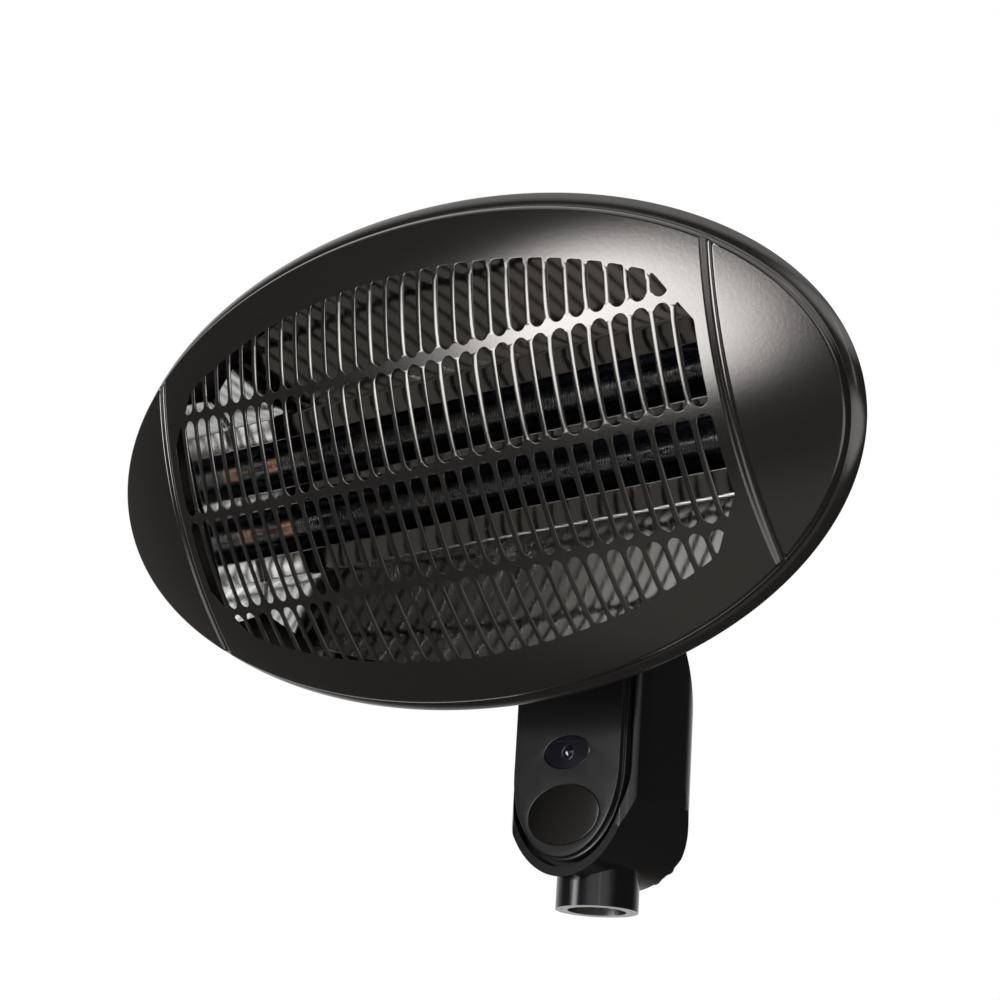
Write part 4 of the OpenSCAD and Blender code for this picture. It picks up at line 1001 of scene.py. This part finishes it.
@dataclass
class Elements:
    """Two quartz tubes with wound coils, crimped copper ends, pins and ceramic caps."""

    tube_z: float = 16.6
    depth: float = 46.0
    tube_r: float = 7.0
    tube_wall: float = 1.2
    tube_end: float = 176.8
    coil_r: float = 4.6
    wire_r: float = 0.4
    coil_half_l: float = 151.0
    turns: float = 186.0
    sleeve_r: float = 5.4
    sleeve_l: float = 10.0
    pin_r: float = 1.2
    cap_x: float = 172.8
    cap_l: float = 5.5
    cap_r: float = 8.5
    neck_r: float = 5.5
    neck_l: float = 4.0

    def winder(self) -> Tool:
        """Tree that winds a straight line into a coil of round wire."""
        tool = Tool("Wind the coil", ("Half Length", "Radius", "Turns", "Wire Radius"))
        g = tool.graph
        half, radius = tool.value("Half Length"), tool.value("Radius")
        part = Num(g, g.add("GeometryNodeSplineParameter").outputs["Factor"])
        turn = part * tool.value("Turns") * math.tau
        place = g.add("ShaderNodeCombineXYZ", {0: (part * 2.0 - 1.0) * half,
                                               1: g.math("COSINE", turn) * radius,
                                               2: g.math("SINE", turn) * radius}).outputs[0]
        line = g.add("GeometryNodeCurvePrimitiveLine").outputs[0]
        fine = g.add("GeometryNodeResampleCurve", {"Curve": line, "Count": int(self.turns * 14)})
        wound = g.add("GeometryNodeSetPosition", {"Geometry": fine.outputs[0], "Position": place})
        ring = g.add("GeometryNodeCurvePrimitiveCircle", {"Resolution": 6, "Radius": tool.value("Wire Radius")})
        wire = g.add("GeometryNodeCurveToMesh", {"Curve": wound.outputs[0], "Profile Curve": ring.outputs[0],
                                                 "Fill Caps": True})
        smooth = g.add("GeometryNodeSetShadeSmooth", {0: wire.outputs[0]})
        tool.finish(smooth.outputs[0], WIRE.material())
        return tool

    def build(self) -> list[bpy.types.Object]:
        """Makes both elements and their ends.

        Returns:
            The pieces.
        """
        made = []
        winder = self.winder()
        inner, end = self.tube_r - self.tube_wall, self.tube_end
        for label, z in (("upper", self.tube_z), ("lower", -self.tube_z)):
            profile = [(-end, inner), (-end, self.tube_r - 0.3), (-end + 0.3, self.tube_r)]
            profile += [(-end + 0.3 + (2 * end - 0.6) * k / 12, self.tube_r) for k in range(1, 12)]
            profile += [(end - 0.3, self.tube_r), (end, self.tube_r - 0.3), (end, inner)]
            profile += [(end - 2 * end * k / 12, inner) for k in range(1, 13)]
            points, faces = turned(profile, "X", (0, self.depth, z), 48)
            tube = mesh_piece(f"{label}_tube", points, faces, QUARTZ, Body.HEAD, 40.0, True)
            made.append(settle(tube, QUARTZ, Body.HEAD, f"{label}_quartz_tube"))
            coil = mesh_piece(f"{label}_coil", [(0, 0, 0)], [], WIRE)
            winder.run(coil, {"Half Length": self.coil_half_l, "Radius": self.coil_r, "Turns": self.turns,
                              "Wire Radius": self.wire_r})
            coil.data.transform(Matrix.Translation((0, self.depth, z)))
            coil.data.transform(Body.HEAD.axes)
            made.append(settle(coil, WIRE, Body.HEAD, f"{label}_heating_coil"))
        made.append(self.ends())
        made.append(self.caps())
        return made

    def each_end(self, profile: list[Flat], around: int) -> Skin:
        """Turns a profile at all four ends, its places counted outwards along X."""
        parts = []
        for z in (self.tube_z, -self.tube_z):
            for side in (-1, 1):
                parts.append(turned([(side * p, r) for p, r in profile], "X", (0, self.depth, z), around))
        return joined(*parts)

    def ends(self) -> bpy.types.Object:
        """Copper sleeves with two crimps each, and their pins."""
        x, r, l = self.coil_half_l, self.sleeve_r, self.sleeve_l
        profile = [(x, 0.0), (x, r - 0.4), (x + 0.4, r), (x + 2.2, r), (x + 2.7, r - 0.5), (x + 3.3, r - 0.5),
                   (x + 3.8, r), (x + 6.2, r), (x + 6.7, r - 0.5), (x + 7.3, r - 0.5), (x + 7.8, r),
                   (x + l - 0.4, r), (x + l, r - 0.4), (x + l, self.pin_r + 0.2), (x + l + 0.3, self.pin_r),
                   (self.cap_x + self.cap_l + self.neck_l - 0.2, self.pin_r),
                   (self.cap_x + self.cap_l + self.neck_l, 0.0)]
        points, faces = self.each_end(profile, 28)
        made = mesh_piece("copper_sleeves_and_pins", points, faces, COPPER, Body.HEAD, 40.0, True)
        return settle(made, COPPER, Body.HEAD, "coil_end_sleeves")

    def caps(self) -> bpy.types.Object:
        """Ceramic caps: a ribbed collar on the tube and a neck for the bracket."""
        x, r, n = self.cap_x, self.cap_r, self.neck_r
        out, last = x + self.cap_l, x + self.cap_l + self.neck_l
        bore, pin = self.tube_r + 0.05, self.pin_r + 0.05
        profile = [(x, bore), (x, r - 0.5), (x + 0.5, r), (x + 2.2, r), (x + 2.5, r - 0.4), (x + 3.0, r - 0.4),
                   (x + 3.3, r), (out - 0.6, r), (out, r - 0.6), (out, n), (last - 0.4, n), (last, n - 0.4),
                   (last, pin), (x + 4.0, pin), (x + 4.0, bore), (x, bore)]
        points, faces = self.each_end(profile, 40)
        made = mesh_piece("ceramic_caps", points, faces, CERAMIC, Body.HEAD, 40.0, True)
        return settle(made, CERAMIC, Body.HEAD, "ceramic_end_caps")


class Drive(Enum):
    """Recess in a screw's head."""

    CROSS = 1
    HEX = 2


@dataclass
class ScrewSet:
    """Like screws of one size, set by Geometry Nodes from one turned prototype."""

    node: str
    body: Body
    places: Sequence[Point]
    radius: float
    length: float
    head_r: float
    head_h: float
    drive: Drive = Drive.CROSS
    away: int = 1

    def prototype(self) -> bpy.types.Object:
        """One screw, its head towards +Y, with its seat at the origin."""
        r, l, hr, hh = self.radius, self.length, self.head_r, self.head_h
        if self.drive is Drive.CROSS:
            recess, depth = hr * 0.52, hh * 0.6

            def shape(place: float, radius: float, angle: float) -> float:
                """Cross-shaped below the recess's rim."""
                if 0.05 < radius <= recess and place > hh - depth - 0.05 and radius > recess * 0.5:
                    arm = abs(math.cos(2 * angle)) ** 3
                    return radius * (0.34 + 0.66 * arm)
                return radius
        else:
            recess, depth = hr * 0.5, hh * 0.65

            def shape(place: float, radius: float, angle: float) -> float:
                """Six-sided inside the socket."""
                if recess * 0.9 <= radius <= recess and place < hh:
                    third = (angle % (math.tau / 6)) - math.tau / 12
                    return radius * 0.93 / math.cos(third)
                return radius
        profile = [(-l, 0.0), (-l, r * 0.6), (-l + r * 0.5, r), (-0.2, r), (0.0, r), (0.0, hr * 0.96),
                   (hh * 0.15, hr), (hh * 0.55, hr * 0.97), (hh * 0.85, hr * 0.8), (hh, hr * 0.6),
                   (hh, recess * 1.02), (hh - 0.02, recess), (hh - depth, recess * 0.92), (hh - depth, 0.0)]
        points, faces = turned(profile, "Y", (0, 0, 0), 24, shape)
        return mesh_piece(self.node + "_one", [(x, y * self.away, z) for x, y, z in points], faces, STEEL,
                          recalc=True)

    def build(self) -> bpy.types.Object:
        """Sets the screws.

        Returns:
            The piece that stands for the node.
        """
        one = self.prototype()
        tool = Tool("Set " + self.node.replace("_", " "), ("Scale",))
        g = tool.graph
        cloud = g.add("GeometryNodeMeshToPoints", {"Mesh": tool.start.outputs[0]})
        source = g.add("GeometryNodeObjectInfo", {"Object": one})
        set_out = g.add("GeometryNodeInstanceOnPoints", {"Points": cloud.outputs[0],
                                                         "Instance": source.outputs["Geometry"],
                                                         "Scale": tool.value("Scale").socket})
        tool.finish(set_out.outputs[0], STEEL.material())
        made = mesh_piece(self.node + "_set", self.places, [], STEEL)
        tool.run(made, {"Scale": 1.0})
        spare = one.data
        bpy.data.objects.remove(one)
        bpy.data.meshes.remove(spare)
        made.data.transform(self.body.axes)
        return settle(made, STEEL, self.body, self.node)


@dataclass
class HandKnob:
    """Six-lobed hand knob with a waist, a domed face and eased lobes."""

    node: str
    body: Body
    axis: str
    centre: Point
    radius: float
    length: float
    stem: tuple[float, float, float] | None = None

    def build(self) -> bpy.types.Object:
        """Turns the knob.

        Returns:
            The piece that stands for the node.
        """
        r, l = self.radius, self.length
        core, collar = r * 0.8, r * 0.55

        def shape(place: float, radius: float, angle: float) -> float:
            """Swells the outer surface into six lobes."""
            if radius <= collar + 1e-6:
                return radius
            wave = (0.5 + 0.5 * math.cos(6 * angle)) ** 0.8
            full = core + (r - core) * wave
            return full * radius / r

        profile = [(0.0, 0.0), (0.0, collar - 0.5), (0.5, collar), (l * 0.25, collar), (l * 0.25, r * 0.94),
                   (l * 0.25 + 0.6, r * 0.985), (l * 0.3 + 0.8, r), (l * 0.6, r), (l - 2.2, r),
                   (l - 1.3, r * 0.985), (l - 0.6, r * 0.94), (l - 0.2, r * 0.86), (l, r * 0.76),
                   (l, r * 0.62), (l - 0.5, r * 0.585), (l - 0.5, r * 0.56)]
        cap = r * 0.55
        profile += [(l - 0.4, cap), (l - 0.1, cap * 0.7), (l, cap * 0.35), (l, 0.0)]
        parts = [turned(profile, self.axis, self.centre, 144, shape)]
        if self.stem:
            start, end, bar = self.stem
            parts.append(turned([(start, 0.0), (start, bar - 0.4), (start + 0.4, bar), (end, bar), (end, 0.0)],
                                self.axis, self.centre, 32))
        points, faces = joined(*parts)
        made = mesh_piece(self.node + "_lobed", points, faces, KNOB, Body.NECK, 38.0, True)
        return settle(made, KNOB, self.body, self.node)


@dataclass
class Lead:
    """Flexible lead along a smoothed route, with a round section."""

    name: str
    nodes: tuple[str, ...]
    route: Sequence[Point]
    radius: float
    finish: Finish
    body: Body
    blend: tuple[Body, Body, Point, Point] | None = None
    around: int = 16
    parts: int = 5

    def smoothed(self) -> list[Vector]:
        """The route as a finely sampled curve through its points."""
        p = [Vector(q) for q in self.route]
        p = [p[0] * 2 - p[1]] + p + [p[-1] * 2 - p[-2]]
        line = []
        for i in range(1, len(p) - 2):
            for k in range(self.parts):
                t = k / self.parts
                line.append(0.5 * ((2 * p[i]) + (p[i + 1] - p[i - 1]) * t
                                   + (2 * p[i - 1] - 5 * p[i] + 4 * p[i + 1] - p[i + 2]) * t ** 2
                                   + (3 * p[i] - p[i - 1] - 3 * p[i + 1] + p[i + 2]) * t ** 3))
        return line + [p[-2]]

    def skin(self) -> Skin:
        """Sweeps the section along the route without twist."""
        line = self.smoothed()
        side = (line[1] - line[0]).orthogonal().normalized()
        rings = []
        for i, here in enumerate(line):
            ahead = (line[min(i + 1, len(line) - 1)] - line[max(i - 1, 0)]).normalized()
            side = (side - ahead * side.dot(ahead)).normalized()
            other = ahead.cross(side)
            rings.append([tuple(here + (side * math.cos(a) + other * math.sin(a)) * self.radius)
                          for a in (math.tau * k / self.around for k in range(self.around))])
        return loft(rings, True, (True, True))

    def build(self) -> bpy.types.Object:
        """Makes the lead and hangs it on its body; a lead that crosses the joint stays where it is, on no body."""
        points, faces = self.skin()
        made = mesh_piece(self.name, points, faces, self.finish, self.body, 50.0, True)
        if self.blend:
            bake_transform(made)
            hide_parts(*self.nodes)
            return made
        return settle(made, self.finish, self.body, *self.nodes)


# ---------------------------------------------------------------- studio


@dataclass
class Softbox:
    """A soft lamp seen from the face along one direction."""

    name: str
    azimuth: float
    elevation: float
    distance: float
    size: Flat
    level: float
    reflected: bool = True
    target: Point = (0.0, -0.12, 0.17)

    def place(self) -> None:
        """Hangs the lamp, facing the head; its level is its own brightness, where 1 is white."""
        a, e = math.radians(self.azimuth), math.radians(self.elevation)
        away = Vector((math.cos(a) * math.cos(e), math.sin(a) * math.cos(e), math.sin(e)))
        data = bpy.data.lights.new(self.name, "AREA")
        data.shape = "RECTANGLE"
        data.size, data.size_y = self.size
        data.energy = self.level * math.pi * self.size[0] * self.size[1]
        lamp = linked(self.name, data)
        lamp.visible_glossy = self.reflected
        lamp.location = Vector(self.target) + away * self.distance
        lamp.rotation_euler = away.to_track_quat("Z", "Y").to_euler()


@dataclass(frozen=True)
class Glow:
    """A soft oval of light in the world that only reflections show, such as a lamp behind its diffuser."""

    azimuth: float
    elevation: float
    roll: float
    half: Flat
    level: float
    soft: float

    def add(self, way: Sequence[Num]) -> Num:
        """Its level in a direction.

        Args:
            way: The direction's three parts.

        Returns:
            The level, 0 outside the oval.
        """
        a, e, r = (math.radians(v) for v in (self.azimuth, self.elevation, self.roll))
        centre = Vector((math.cos(a) * math.cos(e), math.sin(a) * math.cos(e), math.sin(e)))
        level = Vector((-math.sin(a), math.cos(a), 0.0))
        rise = centre.cross(level)
        across = level * math.cos(r) + rise * math.sin(r)
        along = rise * math.cos(r) - level * math.sin(r)

        def part(axis: Vector, width: float) -> Num:
            """How far the direction lies along one axis of the oval."""
            return way[0] * (axis.x / width) + way[1] * (axis.y / width) + way[2] * (axis.z / width)

        u, v, front = part(across, self.half[0]), part(along, self.half[1]), part(centre, 1.0)
        return (u * u + v * v).root().step(1 + self.soft, 1 - self.soft) * self.level * front.step(0.0, 0.05)


@dataclass
class Studio:
    """Camera, lamps, world and floor."""

    lens: float = 99.9
    eye: Point = (0.8746, -1.0066, -0.1865)
    right: Point = (0.7359, 0.6745, 0.0600)
    up: Point = (0.1471, -0.2458, 0.9581)
    back: Point = (0.6609, -0.6963, -0.2801)
    floor_z: float = -1.1
    floor_white: float = 0.85
    from_behind: float = 0.8
    overhead: float = 0.85
    dark: float = 0.028
    below: float = 0.022
    soft_light: float = 0.55
    warm_dark: Colour = (1.0, 0.90, 0.80)
    glows: tuple[Glow, ...] = (
        Glow(-112.7, -4.2, 24.0, (0.17, 0.29), 7.2, 0.36),
        Glow(-120.0, 2.0, 0.0, (0.17, 0.20), 1.5, 0.5),
        Glow(-121.0, -58.0, 0.0, (0.36, 0.30), 0.15, 0.35),
        Glow(-46.0, -46.0, 0.0, (0.5, 0.27), 1.1, 0.3),
        Glow(-46.0, -21.0, 0.0, (0.10, 0.10), 0.36, 0.6),
        Glow(-48.0, 14.0, 0.0, (0.55, 0.3), 1.0, 0.4),
    )
    lamps: tuple[Softbox, ...] = (
        Softbox("Key softbox", -109.0, -1.0, 1.9, (0.40, 1.15), 12.0, False),
        Softbox("Front softbox", -42.5, -4.0, 2.4, (0.10, 1.7), 1.5),
        Softbox("Back light", 70.0, 55.0, 2.2, (1.4, 1.0), 1.6),
    )

    def camera(self) -> None:
        """Sets the camera where the photograph was taken."""
        data = bpy.data.cameras.new("Camera")
        data.lens, data.sensor_width = self.lens, 36.0
        data.clip_start, data.clip_end = 0.05, 30.0
        eye = linked("Camera", data)
        axes = Matrix((self.right, self.up, self.back)).transposed().to_4x4()
        eye.matrix_world = Matrix.Translation(self.eye) @ axes
        bpy.context.scene.camera = eye

    def world(self) -> None:
        """White to the camera, a plain grey for soft light, a dim studio in reflections."""
        world = bpy.data.worlds.new("Studio")
        bpy.context.scene.world = world
        world.use_nodes = True
        world.node_tree.nodes.clear()
        g = Graph(world.node_tree)
        way = g.add("ShaderNodeSeparateXYZ", {0: g.add("ShaderNodeTexCoord").outputs["Generated"]})
        x, y, z = (Num(g, way.outputs[k]) for k in range(3))
        behind = (y * 0.70 - x * 0.66 + z * 0.28).step(0.35, 0.95)
        path = g.add("ShaderNodeLightPath")
        seen = Num(g, path.outputs["Is Camera Ray"])
        gloss = Num(g, path.outputs["Is Glossy Ray"]).at_least(Num(g, path.outputs["Is Transmission Ray"]))
        lit = behind * self.from_behind + z.step(0.42, 0.75) * self.overhead
        for glow in self.glows:
            lit = lit + glow.add((x, y, z))
        dim = lit + self.dark + z.step(0.1, -0.35) * self.below
        level = seen + (1.0 - seen) * (gloss * dim + (1.0 - gloss) * self.soft_light)
        warm = gloss * (1.0 - seen) * (1.0 - (lit * 2.0).at_most(1.0))
        tint = g.mix(warm, (1.0, 1.0, 1.0), self.warm_dark)
        shade = g.add("ShaderNodeBackground", {"Color": tint, "Strength": level})
        g.add("ShaderNodeOutputWorld", {"Surface": shade.outputs[0]})

    def floor(self) -> None:
        """Lays a floor well below the head: near white to the camera, left out of the dim reflections."""
        material = bpy.data.materials.new("Studio floor")
        material.use_nodes = True
        material.node_tree.nodes.clear()
        g = Graph(material.node_tree)
        speck = g.noise(40.0, 3.0)
        pale = g.mix(speck, (0.80, 0.80, 0.80), (0.86, 0.86, 0.86))
        matt = g.add("ShaderNodeBsdfDiffuse", {"Color": pale})
        white = g.add("ShaderNodeEmission", {"Color": (1.0, 1.0, 1.0), "Strength": 1.0})
        seen = Num(g, g.add("ShaderNodeLightPath").outputs["Is Camera Ray"])
        shown = g.add("ShaderNodeMixShader", {0: seen * self.floor_white, 1: matt.outputs[0],
                                              2: white.outputs[0]})
        g.add("ShaderNodeOutputMaterial", {"Surface": shown.outputs[0]})
        size = 6.0
        mesh = bpy.data.meshes.new("studio_floor")
        mesh.from_pydata([(-size, -size, self.floor_z), (size, -size, self.floor_z), (size, size, self.floor_z),
                          (-size, size, self.floor_z)], [], [(0, 1, 2, 3)])
        mesh.materials.append(material)
        made = linked("studio_floor", mesh)
        made.visible_glossy = False

    def build(self) -> None:
        """Sets up the whole studio."""
        self.camera()
        self.world()
        self.floor()
        for lamp in self.lamps:
            lamp.place()
        bpy.context.scene.view_settings.view_transform = "Standard"


# ---------------------------------------------------------------- assembly


@dataclass
class HeadFittings:
    """Everything on the head beside the face, the mirror and the elements."""

    eased_nodes: tuple[tuple[str, str, Finish, float], ...] = (
        ("rear_shell", "rear_shell_drawn", SHELL, 0.35),
        ("grille_posts", "face_posts", STEEL, 0.25),
        ("reflector_supports", "mirror_straps", STEEL, 0.25),
        ("left_element_bracket", "left_cap_bracket", STEEL, 0.2),
        ("right_element_bracket", "right_cap_bracket", STEEL, 0.2),
        ("head_terminal_block", "steatite_block", CERAMIC, 0.5),
        ("thermal_cutout", "cutout_disc", CERAMIC, 0.3),
        ("tilt_bracket", "tilt_bracket_folded", BRACKET, 0.6),
        ("bracket_nuts", "bracket_hex_nuts", STEEL, 0.3),
        ("bracket_grommet", "shell_grommet", RUBBER, 0.35),
    )

    def build(self) -> None:
        """Makes the fittings and sets the head's screws."""
        for node, name, finish, width in self.eased_nodes:
            eased(node, name, finish, Body.HEAD, width)
        posts = [(x * 128.0, 19.8, z * 83.0) for x in (-1, 1) for z in (-1, 1)]
        posts += [(x * 203.0, 32.8, 0.0) for x in (-1, 1)]
        ScrewSet("shell_screws", Body.HEAD, posts, 1.95, 9.0, 3.8, 2.6).build()
        straps = [(x * 95.0, 84.0, z * 33.0) for x in (-1, 1) for z in (-1, 1)]
        ScrewSet("support_screws", Body.HEAD, straps, 1.5, 6.0, 2.9, 2.2).build()
        bracket = [(x * 18.0, 86.5, z) for x in (-1, 1) for z in (-9.0, -31.0)]
        ScrewSet("bracket_screws", Body.HEAD, bracket, 2.45, 8.5, 4.4, 3.2, Drive.HEX).build()
        self.leads()

    def leads(self) -> None:
        """Sleeved leads from the pins to the terminal block."""
        parts = []
        for side, bend, block in ((-1, -50.0, 34.0), (1, 72.0, 64.0)):
            for z, end in ((16.6, -28.0), (-16.6, -34.0)):
                route = [(side * 182.3, 46.0, z), (side * 183.6, 46.0, z), (side * 184.1, 49.0, z),
                         (side * 183.2, 55.0, z), (side * 177.5, 64.0, z), (side * 174.8, 69.3, z),
                         (side * 166.3, 73.5, z), (side * 150.3, 75.0, z), (side * 85.0, 75.0, z),
                         (bend, 75.0, end), (block, 75.0, end)]
                parts.append(Lead("one", (), route, 1.3, SLEEVING, Body.HEAD, None, 10, 3).skin())
        points, faces = joined(*parts)
        made = mesh_piece("sleeved_element_leads", points, faces, SLEEVING, Body.HEAD, 50.0, True)
        settle(made, SLEEVING, Body.HEAD, "element_leads")


@dataclass
class TiltJoint:
    """Axle, spacer, washers, knob and the lead that passes behind them."""

    head_route: tuple[Point, ...] = ((54, 76, -25), (54, 76, -23), (51, 75.6, -20.5), (44, 75, -20),
                                     (12, 75, -20), (6, 75.6, -20), (2.2, 77.6, -20), (0.3, 81, -20),
                                     (0, 84, -20), (0, 90, -20), (0, 97, -21), (1, 106, -26), (2, 111, -36),
                                     (3, 112, -50), (5, 110, -66), (7.6, 106.5, -80), (8.2, 104.6, -88))
    behind_axle: Point = (0.2, 11.6, 149.6)
    neck_route: tuple[Point, ...] = ((-8.8, 10.4, 140.0), (-9, 6.8, 134.5), (-9, 1.6, 130.9),
                                     (-9, -1.5, 128.7), (-9, -2.6, 126.1), (-9, -2.6, 119.5),
                                     (-9, -2.6, 117.05))

    def build(self) -> None:
        """Makes the joint's pieces."""
        axle = [(-45.5, 0.0), (-45.5, 4.2), (-45.0, 5.8), (-43.6, 6.8), (-41.0, 7.0), (-41.0, 4.0), (51.6, 4.0),
                (53.0, 3.2), (53.0, 0.0)]
        points, faces = turned(axle, "X", (0, 0, TILT_Z), 48)
        settle(mesh_piece("tilt_axle_turned", points, faces, STEEL, Body.NECK, 35.0, True), STEEL, Body.NECK,
               "tilt_axle")
        eased("axle_spacer", "spacer_tube", STEEL, Body.NECK, 0.4)
        eased("friction_washers", "nylon_washers", NYLON, Body.NECK, 0.2)
        HandKnob("tilt_knob", Body.TILT_KNOB, "X", (41.3, 0, TILT_Z), 14.0, 16.0).build()
        head = [tuple(Body.HEAD.axes @ Vector(p) / MM) for p in self.head_route]
        Lead("tilt_lead", ("head_lead", "neck_lead"), head + [self.behind_axle] + list(self.neck_route),
             3.0, RUBBER, Body.NECK, (Body.NECK, Body.HEAD, (0.0, 0.011, 0.138), (0.0, 0.0, 0.175)), 20, 6).build()


@dataclass
class Neck:
    """Two-part neck moulding, its front panel, lens and badge, the electrics inside and the pole socket."""

    eased_nodes: tuple[tuple[str, str, Finish, float], ...] = (
        ("neck_body", "neck_front_moulding", GLOSS, 1.1),
        ("neck_back_cover", "neck_back_moulding", GLOSS, 0.5),
        ("front_panel", "front_panel_tray", PANEL, 1.0),
        ("receiver_lens", "smoked_lens", LENS, 0.1),
        ("badge_plate", "bare_badge", BADGE, 0.25),
        ("pole_socket_sleeve", "socket_tube", STEEL, 0.4),
        ("cable_gland", "gland", KNOB, 0.4),
        ("switch_body", "switch_case", KNOB, 0.3),
        ("switch_wires", "switch_leads", SLEEVING, 0.0),
        ("control_board", "circuit_board", BOARD, 0.2),
        ("board_relays", "relays", RELAY, 0.5),
        ("board_terminals", "terminals", TERMINAL, 0.3),
        ("receiver_module", "receiver", KNOB, 0.3),
        ("roof_grommet", "roof_ring", RUBBER, 0.35),
    )

    def build(self) -> None:
        """Makes the neck and what it holds."""
        for node, name, finish, width in self.eased_nodes:
            eased(node, name, finish, Body.NECK, width)
        eased("switch_rocker", "rocker", KNOB, Body.ROCKER, 0.4)
        cover = [(x * p, 17.0, z) for x in (-1, 1) for p, z in ((27.0, 42.0), (32.0, 100.0))]
        ScrewSet("cover_screws", Body.NECK, cover, 1.45, 12.0, 2.9, 2.2).build()
        board = [(x * 22.0, -10.4, z) for x in (-1, 1) for z in (79.0, 114.0)]
        ScrewSet("board_screws", Body.NECK, board, 1.45, 5.6, 2.9, 2.2).build()
        socket = [(0.0, -21.5, z) for z in (34.0, 52.0)]
        ScrewSet("socket_screws", Body.NECK, socket, 1.5, 7.0, 2.9, 2.2, Drive.CROSS, -1).build()
        HandKnob("clamp_knob", Body.CLAMP_KNOB, "Y", (0, 28.3, 32), 13.0, 16.0, (-13.8, 1.0, 3.0)).build()
        supply = [(-20, 19, 60), (-20.4, 13.4, 61.8), (-21.6, 10, 68), (-22, 9, 80), (-22, 9, 95),
                  (-19.5, 8.8, 104), (-16.4, 7, 110), (-15.5, 4, 112), (-15.5, 0.65, 112)]
        Lead("supply_tail", ("supply_lead",), supply, 3.0, RUBBER, Body.NECK).build()


def main() -> None:
    """Builds the studio and the heater, piece by piece."""
    logging.basicConfig(level=logging.INFO, format="%(name)s: %(message)s")
    Studio().build()
    DomedFace().build()
    Reflector().build()
    Elements().build()
    HeadFittings().build()
    TiltJoint().build()
    Neck().build()


if __name__ == "__main__":
    main()
